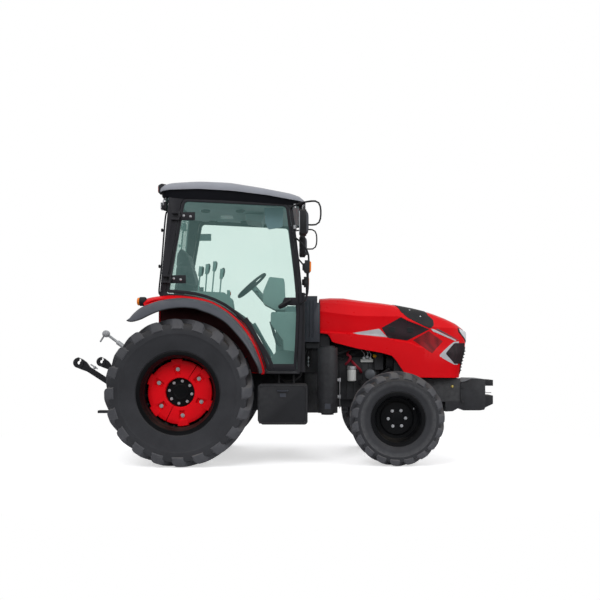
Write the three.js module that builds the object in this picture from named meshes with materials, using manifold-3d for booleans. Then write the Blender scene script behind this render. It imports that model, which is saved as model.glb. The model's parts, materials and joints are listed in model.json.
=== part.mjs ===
// A compact farm tractor with a two-door cab, four driven wheels, a rear three-point hitch and a
// front weight block.
// Millimetres. +X is forward, +Y is left and +Z is up. The pieces are drawn with the rear axle
// above X = 0 and the ground at Z = 0; the last lines centre the whole tractor on its length.
import * as THREE from 'three';
import { mergeVertices } from 'three/addons/utils/BufferGeometryUtils.js';
import Module from 'manifold-3d';

const wasm = await Module();
wasm.setup();

// Clearances
const GAP = 0.3; // between pieces that touch
const RUNNING = 0.5; // between a pin and its eye, and at a bearing's face
const CLEAR = 5; // around pieces that move

// Wheels
const WHEELBASE = 2005;
const SEGMENTS = 24; // sides of every tyre and rim, turned so that a flat side is lowest
const REAR = { radius: 685, width: 378, track: 1400, seat: 355, flange: 380, rim: 344 };
const FRONT = { radius: 440, width: 275, track: 1340, seat: 228, flange: 250, rim: 242 };
const FLAT = Math.cos(Math.PI / SEGMENTS);
const REAR_AXLE_Z = REAR.radius * FLAT;
const FRONT_AXLE_Z = FRONT.radius * FLAT;
const REAR_HUB_LENGTH = 95; // from the rear disc in to the bearing
const REAR_DISC = -40; // inner face of the rear disc, outwards from the tyre's middle
const DISC = 12; // thickness of the wheel discs
const WEIGHT = { inner: 128, outer: 303, width: 73 };
const FRONT_HUB_INNER = -54.5; // inner face of the front hub, outwards from the tyre's middle
const HUB_PLATE = { radius: 150, thick: 14 }; // on the front disc

// Driveline
const ENGINE = { rear: 1300, front: 1900, low: 500, high: 1130, half: 170 };
const GEARBOX = { rear: 240, half: 150, low: 470 };
const AXLE_HOUSING = { rear: -260, half: 190, low: 470, high: 900 };
const LIFT_HOUSING_TOP = 1010;
const TRUMPET = 95; // radius of the rear axle's tubes

// Front axle, with its kingpins
const BEAM = { z: 440, high: 70 };
const KINGPIN = { y: 520, radius: 50, high: 170 };
const KNUCKLE = { plate: 24.5, half: 55, web: 30, webInner: 580 };

// Front frame and weight
const FRAME = { front: WHEELBASE + 695, half: 220, rail: 30, low: 560, high: 790 };
const WEIGHT_HALF = 230;
const JAW = { tip: WHEELBASE + 1049, root: WHEELBASE + 937, low: 614, high: 712, half: 110, chamfer: 24 };
const PIVOT = { z: 550, radius: 45, length: 220 };

// Cab
const SIDE = { outer: 620, depth: 60 }; // outer face and depth of the cab's side frames
const DOOR = { outer: 618, depth: 30, member: 28, panel: 65, archGap: 6 };
const GLASS = 6;
const SILL = { low: 848, high: 870 };
const FLOOR = { sheet: 25, rearTop: 1075, half: 455 };
const PILLAR = 30; // width of the front pillars
const RAIL = 40; // height of the roof rails
const ARCH_RAIL = 22; // height of the rail on the fender
const EAVES = { rear: 2500, x: -107, slope: -0.04837 }; // the door's upper edge
const WALL_REAR = -200;
const LIVERY = { red: 0xb5121c, flare: 0x55585f, roof: 0x82858c, black: 0x1d1e22 };

// Fenders
const FENDER = { inner: 460, crown: 640, outer: 700, sheet: 12, wall: 20 };
const FLARE = { outer: 865, radius: 757, sheet: 10 };

// Hood and cowl
const HOOD = { rear: 1304, sheet: 12 };
const COWL = { half: 340, low: 1150, high: 1600, front: 1299, notch: 1276, notchZ: 1530 };
const HOOD_HINGE = { x: 1320, z: 1555, pin: 5, lug: 172, ear: 156, plate: 12 };

// Door hinges: one leaning axis on each side, with two hinges on it
const HINGE = { y: 640, x: -112, z: 1714, lean: 0.1426, barrel: 9, knuckle: 36, heights: [1735, 2326] };

// Drawbar: a flat bar with a thinner tongue behind the step, and the pin hole at its end
const DRAWBAR = { rear: -955, step: -330, front: 60, low: 430, high: 460, tongue: 456, half: 38, hole: 16 };

// Three-point hitch
const LINK = { x: -230, z: 430, length: 962, angle: 32.7, y: 400, thick: 24, half: 26, pin: 14 };
const LIFT = { x: -180, z: 960, length: 340, shaft: 35, armOuter: 372, arm: 22, pin: 12 };
const ROD = { y: 430, thick: 20, eye: 26, radius: 14 };

// ---------------------------------------------------------------- shapes

const at = (x, y) => new THREE.Vector2(x, y);

function signedVolume(vertices, triangles) {
  let volume = 0;
  for (let i = 0; i < triangles.length; i += 3) {
    const [a, b, c] = [0, 1, 2].map((k) =>
      new THREE.Vector3().fromArray(vertices, 3 * triangles[i + k]));
    volume += a.dot(b.cross(c)) / 6;
  }
  return volume;
}

function closedBody(vertices, triangles) {
  const faces = [];
  for (let i = 0; i < triangles.length; i += 3) {
    const [a, b, c] = triangles.slice(i, i + 3);
    if (a !== b && b !== c && c !== a) faces.push([a, b, c]);
  }
  const outward = signedVolume(vertices, faces.flat()) > 0;
  const triVerts = new Uint32Array(faces.flatMap((f) => (outward ? f : [f[0], f[2], f[1]])));
  return new wasm.Manifold(new wasm.Mesh({
    numProp: 3, vertProperties: new Float32Array(vertices), triVerts,
  }));
}

// The closed body of a three.js geometry.
function solid(geometry) {
  const bare = new THREE.BufferGeometry();
  bare.setAttribute('position', geometry.getAttribute('position'));
  if (geometry.index) bare.setIndex(geometry.index);
  const merged = mergeVertices(bare, 1e-3);
  return closedBody(Array.from(merged.getAttribute('position').array),
    Array.from(merged.index.array));
}

const union = (...bodies) => bodies.reduce((sum, body) => sum.add(body));
const cut = (body, ...tools) => tools.reduce((rest, tool) => rest.subtract(tool), body);

// The same body on the other side of the tractor's middle.
function mirrored(body) {
  const { vertProperties, triVerts } = body.getMesh();
  const flipped = Array.from(vertProperties, (v, i) => (i % 3 === 1 ? -v : v));
  return closedBody(flipped, Array.from(triVerts));
}

function block([x0, y0, z0], [x1, y1, z1]) {
  const box = new THREE.BoxGeometry(x1 - x0, y1 - y0, z1 - z0);
  return solid(box.translate((x0 + x1) / 2, (y0 + y1) / 2, (z0 + z1) / 2));
}

function extruded(points, depth, right, up, along, start) {
  const outline = points.map((p) => (Array.isArray(p) ? at(...p) : p));
  const geometry = new THREE.ExtrudeGeometry(new THREE.Shape(outline), {
    depth, steps: 1, bevelEnabled: false,
  });
  const turn = new THREE.Matrix4().makeBasis(right, up, along);
  return solid(geometry.applyMatrix4(turn).translate(start.x, start.y, start.z));
}

const AXIS = {
  x: new THREE.Vector3(1, 0, 0), y: new THREE.Vector3(0, 1, 0), z: new THREE.Vector3(0, 0, 1),
  minusY: new THREE.Vector3(0, -1, 0),
};

// An outline of (x, z) points, from y0 to y1.
function sidePlate(points, y0, y1) {
  return extruded(points, y1 - y0, AXIS.x, AXIS.z, AXIS.minusY, new THREE.Vector3(0, y1, 0));
}

// An outline of (y, z) points, from x0 to x1.
function crossPlate(points, x0, x1) {
  return extruded(points, x1 - x0, AXIS.y, AXIS.z, AXIS.x, new THREE.Vector3(x0, 0, 0));
}

function rod(from, to, radius, sides = 12) {
  const [a, b] = [from, to].map((p) => new THREE.Vector3(...p));
  const along = b.clone().sub(a);
  const bar = new THREE.CylinderGeometry(radius, radius, along.length(), sides);
  const turn = new THREE.Quaternion().setFromUnitVectors(AXIS.y, along.clone().normalize());
  bar.applyQuaternion(turn);
  return solid(bar.translate(...a.add(b).multiplyScalar(0.5)));
}

// A closed profile of (radius, y) points, turned about the Y axis.
function turned(profile, side = 1, segments = SEGMENTS) {
  const ends = [profile[0], profile.at(-1)];
  const loop = ends.every(([r]) => r === 0) ? profile : [...profile, profile[0]];
  const points = loop.map(([r, y]) => at(r, y * side));
  return solid(new THREE.LatheGeometry(points, segments, Math.PI / segments));
}

// A round bar along a smooth line through the points.
function bentRod(points, radius, steps = 18, sides = 6) {
  const path = new THREE.CatmullRomCurve3(points.map((p) => new THREE.Vector3(...p)), false,
    'centripetal');
  const ring = Array.from({ length: sides }, (_, i) => {
    const angle = (2 * Math.PI * i) / sides;
    return at(radius * Math.cos(angle), radius * Math.sin(angle));
  });
  return solid(new THREE.ExtrudeGeometry(new THREE.Shape(ring), {
    steps, extrudePath: path, bevelEnabled: false,
  }));
}

// A body through rings of equally many points; the first and last ring close it.
function loft(rings) {
  const count = rings[0].length;
  const vertices = rings.flat(2);
  const triangles = [];
  for (let i = 0; i + 1 < rings.length; i += 1) {
    for (let j = 0; j < count; j += 1) {
      const k = (j + 1) % count;
      const [a, b, c, d] = [i * count + j, i * count + k, (i + 1) * count + k, (i + 1) * count + j];
      triangles.push(a, b, c, a, c, d);
    }
  }
  for (const [ring, flip] of [[0, true], [rings.length - 1, false]]) {
    const flat = rings[ring].map((p) => new THREE.Vector3(...p));
    for (const face of capTriangles(flat)) {
      const [a, b, c] = face.map((index) => ring * count + index);
      triangles.push(a, flip ? c : b, flip ? b : c);
    }
  }
  return closedBody(vertices, triangles);
}

// Triangles that fill one ring, wound the way the ring runs.
function capTriangles(ring) {
  const origin = ring[0];
  const normal = new THREE.Vector3();
  ring.forEach((p, i) => {
    const q = ring[(i + 1) % ring.length];
    normal.add(p.clone().sub(origin).cross(q.clone().sub(origin)));
  });
  normal.normalize();
  const right = ring[1].clone().sub(origin).normalize();
  const up = normal.clone().cross(right);
  const flat = ring.map((p) => at(p.clone().sub(origin).dot(right), p.clone().sub(origin).dot(up)));
  return THREE.ShapeUtils.triangulateShape(flat, []);
}

// ---------------------------------------------------------------- outlines

// Moves each edge of a closed outline to its left; distance is one number or one for each edge.
function inset(points, distance) {
  const count = points.length;
  const edges = points.map((p, i) => {
    const q = points[(i + 1) % count];
    const way = q.clone().sub(p).normalize();
    const shift = Array.isArray(distance) ? distance[i] : distance;
    return { way, start: p.clone().add(at(-way.y, way.x).multiplyScalar(shift)) };
  });
  return edges.map((edge, i) => {
    const before = edges[(i + count - 1) % count];
    const cross = before.way.cross(edge.way);
    if (Math.abs(cross) < 1e-3) return edge.start.clone().add(before.start.clone()
      .addScaledVector(before.way, edge.start.clone().sub(before.start).dot(before.way)))
      .multiplyScalar(0.5);
    const reach = edge.start.clone().sub(before.start).cross(edge.way) / cross;
    return before.start.clone().addScaledVector(before.way, reach);
  });
}

// Replaces the corners that have a radius by arcs.
function rounded(points, radii, steps = 4) {
  const count = points.length;
  return points.flatMap((corner, i) => {
    const radius = radii[i] ?? 0;
    if (radius <= 0) return [corner];
    const [before, after] = [points[(i + count - 1) % count], points[(i + 1) % count]];
    const [u, v] = [before, after].map((p) => p.clone().sub(corner).normalize());
    const half = Math.acos(THREE.MathUtils.clamp(u.dot(v), -1, 1)) / 2;
    const reach = radius / Math.tan(half);
    const centre = corner.clone().addScaledVector(u.clone().add(v).normalize(),
      radius / Math.sin(half));
    const [from, to] = [u, v].map((w) => corner.clone().addScaledVector(w, reach).sub(centre));
    return Array.from({ length: steps + 1 }, (_, k) => {
      const t = k / steps;
      const ray = from.clone().multiplyScalar(1 - t).add(to.clone().multiplyScalar(t));
      return centre.clone().add(ray.setLength(radius));
    });
  });
}

// The fender's crown seen from the side, from its rear tip to its front foot.
const crown = new THREE.SplineCurve([
  at(-345, 1540), at(-228, 1573), at(-65, 1575), at(147, 1547), at(330, 1482), at(474, 1386),
  at(593, 1256), at(689, 1083), at(750, 930), at(772, 848),
]);

function crownAt(x) {
  let [low, high] = [0, 1];
  for (let i = 0; i < 40; i += 1) {
    const middle = (low + high) / 2;
    if (crown.getPointAt(middle).x < x) low = middle;
    else high = middle;
  }
  return low;
}

// Points along the crown, a fixed distance outside it, from one x to another. All lines share
// the same steps, so that the pieces on the crown stay parallel.
const CROWN_STEPS = 16;
function crownLine(offset, fromX, toX) {
  const [start, end] = [crownAt(fromX), crownAt(toX)];
  const steps = Array.from({ length: CROWN_STEPS - 1 }, (_, i) => (i + 1) / CROWN_STEPS)
    .filter((u) => u > start + 0.01 && u < end - 0.01);
  return [start, ...steps, end].map((u) => {
    const way = crown.getTangentAt(u);
    return crown.getPointAt(u).add(at(-way.y, way.x).multiplyScalar(offset));
  });
}

// The cab's front edge seen from the side.
const pillar = new THREE.SplineCurve([at(1105, 848), at(1132, 1400), at(1112, 1800), at(1026, 2500)]);

function pillarX(z, offset = 0) {
  let [low, high] = [0, 1];
  for (let i = 0; i < 40; i += 1) {
    const middle = (low + high) / 2;
    if (pillar.getPoint(middle).y < z) low = middle;
    else high = middle;
  }
  return pillar.getPoint(low).x + offset;
}

function pillarLine(offset, low, high, count = 6) {
  return Array.from({ length: count + 1 }, (_, i) => {
    const z = low + ((high - low) * i) / count;
    return at(pillarX(z, offset), z);
  });
}

const eaves = (x) => EAVES.rear + (x - EAVES.x) * EAVES.slope;
const frameTop = (x) => eaves(x) + CLEAR + RAIL;
const rearLine = (z, offset = 0) => -211 + (z - 1575) * 0.0943 + offset;
const doorRear = (z) => -147 + (z - 1674) * 0.1757;

// Where an almost upright line meets an almost level one.
function meet(xOf, zOf, z = 2450) {
  let level = z;
  for (let i = 0; i < 12; i += 1) level = zOf(xOf(level));
  return at(xOf(level), level);
}

// The door opening: its sharp corners and where its front and its arch end.
function openingOutline() {
  const top = (x) => eaves(x) + CLEAR;
  const front = pillarLine(-PILLAR, SILL.high, meet((z) => pillarX(z, -PILLAR), top).y);
  const topRear = meet(doorRear, top);
  const arch = crownLine(ARCH_RAIL, -150, 763);
  arch[0] = at(doorRear(arch[0].y), arch[0].y);
  const foot = at(arch.at(-1).x, SILL.high);
  arch[arch.length - 1] = foot;
  return { points: [...front, topRear, ...arch], front: front.length };
}

const opening = openingOutline();
const openingRadii = opening.points.map((_, i) => {
  if (i === opening.front - 1 || i === opening.front) return 70;
  if (i === opening.front + 1) return 30;
  return i === 0 || i === opening.points.length - 1 ? 35 : 0;
});

// The opening drawn in by a distance. The door sinks a little as it swings on its leaning hinges,
// so it also keeps archGap over the arch.
function openingInset(distance, panel = distance) {
  const last = opening.points.length - 1;
  const overArch = (i) => (i > opening.front && i < last ? DOOR.archGap : 0);
  const edges = opening.points.map((_, i) => (i === last ? panel : distance + overArch(i)));
  const radii = openingRadii.map((r) => (r > 0 ? Math.max(r - distance, 6) : 0));
  return rounded(inset(opening.points, edges), radii);
}

// ---------------------------------------------------------------- pieces

const vehicle = new THREE.Group();

function paint(color, roughness = 0.5, metalness = 0) {
  return new THREE.MeshStandardMaterial({ color, roughness, metalness });
}

const PAINT = {
  red: paint(LIVERY.red, 0.3), flare: paint(LIVERY.flare), roof: paint(LIVERY.roof),
  black: paint(LIVERY.black), tyre: paint(0x2c2d31, 0.9), steel: paint(0x9a9ca0, 0.35, 1),
  iron: paint(0x26272b, 0.6), glass: paint(0xd3ebe4, 0.05), cloth: paint(0x2b2c30, 0.95),
  cowl: paint(0x3b3e46), plastic: paint(0x202125, 0.7),
};
PAINT.glass.transparent = true;
PAINT.glass.opacity = 0.35;

function piece(name, body, material, parent = vehicle) {
  const { vertProperties, triVerts } = body.getMesh();
  const geometry = new THREE.BufferGeometry();
  geometry.setAttribute('position', new THREE.BufferAttribute(new Float32Array(vertProperties), 3));
  geometry.setIndex(new THREE.BufferAttribute(new Uint32Array(triVerts), 1));
  geometry.computeVertexNormals();
  const mesh = new THREE.Mesh(geometry, material);
  mesh.name = name;
  parent.add(mesh);
  return mesh;
}

function pair(name, rightBody, material) {
  piece(`${name}_right`, rightBody, material);
  piece(`${name}_left`, mirrored(rightBody), material);
}

// Wheels: every profile runs outwards from the tyre's middle.
function tyre({ radius, width, seat, flange, rim }, side) {
  const half = width / 2;
  const bead = rim / 2 - 7 - GAP;
  const bulge = (flange + radius) / 2 - 10;
  const outer = [[seat + GAP, bead], [flange + 3, bead], [bulge, half], [radius - 45, half * 0.97],
    [radius, half * 0.72]];
  const inner = [[seat + GAP, bead - 20], [radius - 58, half * 0.7]];
  const back = (points) => points.map(([r, y]) => [r, -y]).reverse();
  return turned([...outer, ...back(outer), ...back(inner).reverse(), ...[...inner].reverse()], side);
}

function rearRim(side) {
  const { seat, flange, rim } = REAR;
  const [edge, lip, well] = [rim / 2, rim / 2 - 7, seat - 30];
  const hub = REAR_DISC - REAR_HUB_LENGTH;
  const face = REAR_DISC + DISC;
  return turned([[0, hub], [85, hub], [85, REAR_DISC], [well - 8, REAR_DISC], [seat - 12, -edge],
    [flange, -edge], [flange, -lip], [seat, -lip], [well, -100], [well, 100], [seat, lip],
    [flange, lip], [flange, edge], [seat - 12, edge], [well - 8, 106], [well - 8, face],
    [WEIGHT.inner - 2, face], [WEIGHT.inner - 2, face + 26], [0, face + 26]], side);
}

function frontRim(side) {
  const { seat, flange, rim } = FRONT;
  const [edge, lip, well] = [rim / 2, rim / 2 - 7, seat - 23];
  return turned([[0, FRONT_HUB_INNER], [95, FRONT_HUB_INNER], [95, 0], [well - 8, 0],
    [seat - 12, -edge], [flange, -edge], [flange, -lip], [seat, -lip], [well, -62], [well, 50],
    [seat, lip], [flange, lip], [flange, edge], [seat - 12, edge], [well - 8, DISC],
    [HUB_PLATE.radius, DISC], [HUB_PLATE.radius, DISC + HUB_PLATE.thick],
    [0, DISC + HUB_PLATE.thick]], side);
}

function rearWheel(name, side) {
  const wheel = new THREE.Group();
  wheel.position.set(0, (side * REAR.track) / 2, REAR_AXLE_Z);
  vehicle.add(wheel);
  piece(`rear_tyre_${name}`, tyre(REAR, side), PAINT.tyre, wheel);
  piece(`rear_rim_${name}`, rearRim(side), PAINT.black, wheel);
  const seat = REAR_DISC + DISC + GAP;
  const { inner, outer, width } = WEIGHT;
  const ring = [[inner, seat], [outer, seat], [outer, seat + width], [inner, seat + width]];
  piece(`rear_weight_${name}`, turned(ring, side), PAINT.red, wheel);
}

function frontWheel(name, side) {
  const wheel = new THREE.Group();
  wheel.position.set(WHEELBASE, (side * FRONT.track) / 2, FRONT_AXLE_Z);
  vehicle.add(wheel);
  piece(`front_tyre_${name}`, tyre(FRONT, side), PAINT.tyre, wheel);
  piece(`front_rim_${name}`, frontRim(side), PAINT.black, wheel);
}

for (const [name, side] of [['left', 1], ['right', -1]]) {
  rearWheel(name, side);
  frontWheel(name, side);
}

// The right knuckle: a bracket around the end of the beam, with the hub's bearing and an arm.
function knuckle() {
  const [low, high] = [-KINGPIN.high / 2, KINGPIN.high / 2].map((h) => BEAM.z + h);
  const { plate, half, web, webInner } = KNUCKLE;
  const [x0, x1] = [WHEELBASE - half, WHEELBASE + half];
  const top = high + RUNNING;
  const bottom = low - RUNNING;
  const inner = -(KINGPIN.y - half + 5);
  const outer = -(webInner + web);
  const hubFace = -(FRONT.track / 2 + FRONT_HUB_INNER - RUNNING);
  return union(
    block([x0, outer, top], [x1, inner, top + plate]),
    block([x0, outer, bottom - plate], [x1, inner, bottom]),
    block([x0, outer, bottom - plate], [x1, -webInner, top + plate]),
    rod([WHEELBASE, -webInner, FRONT_AXLE_Z], [WHEELBASE, hubFace, FRONT_AXLE_Z], 80, 16),
    block([x0 - 110, -KINGPIN.y - 22, bottom - plate], [x0 + 1, -KINGPIN.y + 22, bottom]),
  );
}
pair('knuckle', knuckle(), PAINT.iron);

function frontAxle() {
  const { z, high, half } = BEAM;
  const ends = [-1, 1].map((side) => rod(
    [WHEELBASE, side * KINGPIN.y, z - KINGPIN.high / 2],
    [WHEELBASE, side * KINGPIN.y, z + KINGPIN.high / 2], KINGPIN.radius, 16));
  const arms = [[-KINGPIN.y, z - 40], [-430, z - 45], [-140, z - high], [140, z - high],
    [430, z - 45], [KINGPIN.y, z - 40], [KINGPIN.y, z + 35], [430, z + 40], [140, z + 60],
    [-140, z + 60], [-430, z + 40], [-KINGPIN.y, z + 35]];
  const rear = WHEELBASE - 65;
  return union(
    crossPlate(arms, WHEELBASE - 45, WHEELBASE + 45),
    rod([rear - 25, 0, z], [WHEELBASE + 105, 0, z], 112, 16),
    rod([rear + GAP, 0, PIVOT.z], [rear + PIVOT.length, 0, PIVOT.z], PIVOT.radius, 16),
    ...ends,
  );
}
const pivotPlate = (x0, x1) => block([x0, -FRAME.half, PIVOT.z + 20], [x1, FRAME.half, FRAME.high]);
piece('front_axle', frontAxle(), PAINT.iron);

function frontFrame() {
  const [rear, inner] = [ENGINE.front + GAP, FRAME.half - FRAME.rail];
  const rail = (side) => block([rear, Math.min(side * inner, side * FRAME.half), FRAME.low],
    [FRAME.front, Math.max(side * inner, side * FRAME.half), FRAME.high]);
  const axleRear = WHEELBASE - 65;
  const pivotFront = axleRear + PIVOT.length + GAP;
  const saddle = (x0, x1) => block([x0, -80, PIVOT.z - 20], [x1, 80, FRAME.low + 60]);
  return union(
    rail(-1), rail(1),
    block([rear, -FRAME.half, 620], [axleRear, FRAME.half, FRAME.high]),
    block([rear, -80, PIVOT.z + 2 + 12], [axleRear, 80, 640]),
    saddle(pivotFront, pivotFront + 28), pivotPlate(pivotFront, pivotFront + 28),
    block([WHEELBASE + 375, -inner - 1, FRAME.high - 20], [FRAME.front, inner + 1, FRAME.high]),
    block([FRAME.front - 30, -inner - 1, FRAME.low], [FRAME.front, inner + 1, FRAME.high]),
  );
}
piece('front_frame', frontFrame(), PAINT.iron);

// The front weight hangs under the frame and in front of it, with a jaw for a tow pin.
function frontWeight() {
  const [under, face] = [FRAME.low - GAP, FRAME.front + GAP];
  const ahead = (d) => FRAME.front + d;
  const body = [[ahead(-148), under], [ahead(-148), 461], [ahead(-78), 465], [ahead(-18), 499],
    [ahead(28), 473], [ahead(190), 473], [ahead(235), 480], [ahead(245), 500], [ahead(245), 776],
    [ahead(105), 779], [ahead(51), 752], [face, 748], [face, under]];
  const { tip, root, low, high, half, chamfer } = JAW;
  const jaw = [[ahead(200), 480], [ahead(235), 473], [tip, 530], [tip, low], [root + chamfer, low],
    [root, low + chamfer], [root, high - chamfer / 2], [root + chamfer / 2, high], [tip, high],
    [tip, 771], [ahead(258), 775], [ahead(200), 776]];
  return union(sidePlate(body, -WEIGHT_HALF, WEIGHT_HALF), sidePlate(jaw, -half, half));
}
piece('front_weight', frontWeight(), PAINT.iron);

function engine() {
  const { rear, front, low, high, half } = ENGINE;
  return union(
    block([rear + GAP, -half, low + 80], [front - 30, half, high - 130]),
    block([rear + 40, -half + 40, low], [front - 90, half - 40, low + 81]),
    block([rear + 20, -half + 50, high - 131], [front - 60, half - 50, high]),
    block([front - 31, -half + 20, low + 100], [front, half - 20, high - 160]),
  );
}
piece('engine', engine(), PAINT.iron);

function gearbox() {
  const { rear, half, low } = GEARBOX;
  const top = SILL.low - 3 - GAP;
  return union(
    block([rear + GAP, -half, low], [1151, half, top]),
    block([1150, -230, low - 20], [ENGINE.rear, 230, 900]),
  );
}
piece('gearbox', gearbox(), PAINT.iron);

function rearAxle() {
  const { rear, half, low, high } = AXLE_HOUSING;
  const faceY = REAR.track / 2 + REAR_DISC - REAR_HUB_LENGTH - RUNNING;
  const bracket = [[60, 700], [60, 640], [-110, 580], [-195, 398], [-262, 400], [-262, 460],
    [-170, 640], [-90, 700]];
  const sides = [-1, 1].flatMap((side) => {
    const y = (inner, outer) => (side > 0 ? [inner, outer] : [-outer, -inner]);
    return [
      rod([0, side * (half - 1), REAR_AXLE_Z], [0, side * (faceY - 120), REAR_AXLE_Z], TRUMPET, 16),
      rod([0, side * (faceY - 121), REAR_AXLE_Z], [0, side * faceY, REAR_AXLE_Z], 78, 16),
      sidePlate(bracket, ...y(350, 370)),
      rod([LINK.x, side * 368, LINK.z], [LINK.x, side * (LINK.y + 30), LINK.z], LINK.pin),
      sidePlate([[-330, 780], [-330, 850], [rear + 1, 870], [rear + 1, 760]], ...y(22, 36)),
    ];
  });
  return cut(union(
    block([rear, -half, low], [GEARBOX.rear, half, high]),
    block([-240, -half, high - 1], [180, half, LIFT_HOUSING_TOP]),
    rod([-300, -30, 815], [-300, 30, 815], 12),
    rod([rear + 1, 0, 600], [rear - 80, 0, 600], 17.5, 12),
    block([rear, -60, DRAWBAR.high + GAP], [rear + 120, 60, low + 1]),
    ...sides,
  ), rod([LIFT.x, -half - 5, LIFT.z], [LIFT.x, half + 5, LIFT.z], LIFT.shaft + RUNNING, 24));
}
piece('rear_axle', rearAxle(), PAINT.iron);

function drawbar() {
  const { rear, step, front, low, high, tongue, half, hole } = DRAWBAR;
  const bar = union(block([step, -half, low], [front, half, high]),
    block([rear, -half, low], [step + 1, half, tongue]));
  return cut(bar, rod([rear + 40, 0, low - 10], [rear + 40, 0, high + 10], hole, 20));
}
piece('drawbar', drawbar(), PAINT.iron);

// ---------------------------------------------------------------- tanks and muffler

function muffler() {
  const [x, y] = [1371, -450];
  return union(
    rod([x, y, 470], [x, y, 1095], 97, 20),
    rod([x, y, 452], [x, y, 471], 60, 16),
    rod([x, y, 1094], [x, y, 1111], 70, 16),
    rod([x, y + 60, 950], [x, -(ENGINE.half + GAP), 950], 26),
    block([x - 30, y + 60, 700], [x + 30, -(ENGINE.half + GAP), 712]),
  );
}
piece('exhaust_muffler', muffler(), PAINT.iron);

function batteryBox() {
  const outline = [at(717, 415), at(760, 383), at(1177, 383), at(1177, 755), at(717, 755)];
  const box = sidePlate(rounded(outline, [20, 20, 30, 30, 30]), -745, -450);
  return union(box, block([840, -451, 560], [1060, -(GEARBOX.half + GAP), 640]));
}
piece('battery_box', batteryBox(), PAINT.plastic);

function fuelTank() {
  const outline = [at(725, 420), at(1240, 420), at(1240, 800), at(725, 800)];
  const steps = [[380, 400], [575, 595]].map(([z0, z1]) => block([858, 599, z0], [1172, 805, z1]));
  const cheeks = [[850, 859], [1171, 1180]].map(([x0, x1]) => block([x0, 599, 380], [x1, 805, 700]));
  return union(
    sidePlate(rounded(outline, [60, 60, 60, 60]), 250, 600),
    block([840, GEARBOX.half + GAP, 560], [1060, 251, 640]), ...steps, ...cheeks,
  );
}
piece('fuel_tank', fuelTank(), PAINT.plastic);

// ---------------------------------------------------------------- fenders

// Crown sheet with its outer edge rounded down, and the wall between tyre and cab.
function fender() {
  const { inner, crown: edge, outer, sheet, wall } = FENDER;
  const top = crownLine(0, -345, 772);
  const under = crownLine(-sheet, -345, 772);
  const drops = (u) => 8 + 22 * (1 - u) ** 1.5;
  const rings = top.map((p, i) => {
    const u = i / (top.length - 1);
    const way = under[i].clone().sub(p).normalize();
    const low = (q, d) => q.clone().addScaledVector(way, d);
    const drop = drops(u);
    const section = [[p, inner], [p, edge], [low(p, drop * 0.35), edge + 34], [low(p, drop), outer],
      [low(p, drop + sheet), outer], [low(under[i], drop * 0.35), edge + 28], [under[i], edge - 4],
      [under[i], inner]];
    return section.map(([q, y]) => [q.x, -y, q.y]);
  });
  const side = crownLine(-1, -247, 772).reverse();
  const wallLine = [at(-247, 1000), at(600, 1000), at(650, SILL.low), ...side];
  const lamp = rod([-405, -655, 1523], [-330, -655, 1523], 34, 16);
  return union(loft(rings), sidePlate(wallLine, -(inner + wall), -inner),
    lamp, block([-350, -670, 1500], [-335, -640, 1535]));
}
pair('fender', fender(), PAINT.red);

// Radius of the line between fender and flare about the rear axle.
function flareTop(angle) {
  const rows = [[10, 783], [20, 786], [30, 793], [42, 818], [55, 838], [70, 845], [90, 853],
    [105, 858], [114, 858], [121, 832], [126.5, 810]];
  const i = Math.max(1, rows.findIndex(([a]) => a >= angle));
  const [[a0, r0], [a1, r1]] = [rows[i - 1], rows[i]];
  return r0 + ((r1 - r0) * (angle - a0)) / (a1 - a0);
}

function flare() {
  const { outer, radius, sheet } = FLARE;
  const inner = FENDER.outer + GAP;
  const angles = [12, 20, 30, 40, 50, 60, 70, 80, 90, 100, 108, 114, 118, 122, 126.5];
  const rings = angles.map((degrees) => {
    const angle = THREE.MathUtils.degToRad(degrees);
    const top = flareTop(degrees);
    const low = degrees > 118 ? radius + (degrees - 118) * 4.6 : radius;
    const drop = top - low;
    const width = outer - inner;
    const section = [[inner, top], [inner + width * 0.5, top - drop * 0.16],
      [inner + width * 0.85, top - drop * 0.42], [outer, low + drop * 0.25], [outer, low],
      [outer - sheet, low], [inner + width * 0.78, top - drop * 0.42 - sheet],
      [inner + width * 0.47, top - drop * 0.16 - sheet], [inner, top - sheet]];
    return section.map(([y, r]) => [r * Math.cos(angle), -y, REAR_AXLE_Z + r * Math.sin(angle)]);
  });
  return loft(rings);
}
pair('fender_flare', flare(), PAINT.flare);

// ---------------------------------------------------------------- cab

const hingeX = (z) => HINGE.x + (z - HINGE.z) * HINGE.lean;

// A stretch of a hinge's barrel on the leaning axis, between two heights.
function barrel(low, high, y, radius = HINGE.barrel) {
  return rod([hingeX(low), y, low], [hingeX(high), y, high], radius);
}

// The fixed half of one hinge on the right side frame.
function hingeBracket(height) {
  const { y, knuckle: length, barrel: radius } = HINGE;
  const half = length / 2;
  const ends = [[height - half - 22, height - half - RUNNING], [height + half + RUNNING,
    height + half + 22]];
  return ends.flatMap(([low, high]) => {
    const x = hingeX((low + high) / 2);
    return [
      barrel(low, high, -y),
      block([x - 70, -(y + radius - 2), low + 2], [x - 34, -(SIDE.outer - 1), high - 2]),
      block([x - 40, -(y + radius - 2), low + 2], [x, -(y - radius + 3), high - 2]),
    ];
  });
}

function sideFrame() {
  const arch = crownLine(GAP, -211, 772 + GAP);
  const front = pillarLine(0, SILL.low, meet(pillarX, frameTop).y);
  const rearTop = meet(rearLine, frameTop);
  const outline = [...front, rearTop, ...arch.slice(0, -1), at(arch.at(-1).x, SILL.low)];
  const plate = sidePlate(outline, -SIDE.outer, -(SIDE.outer - SIDE.depth));
  const hole = sidePlate(rounded(opening.points, openingRadii), -SIDE.outer - 10, -500);
  return union(cut(plate, hole), ...HINGE.heights.flatMap(hingeBracket));
}

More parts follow.
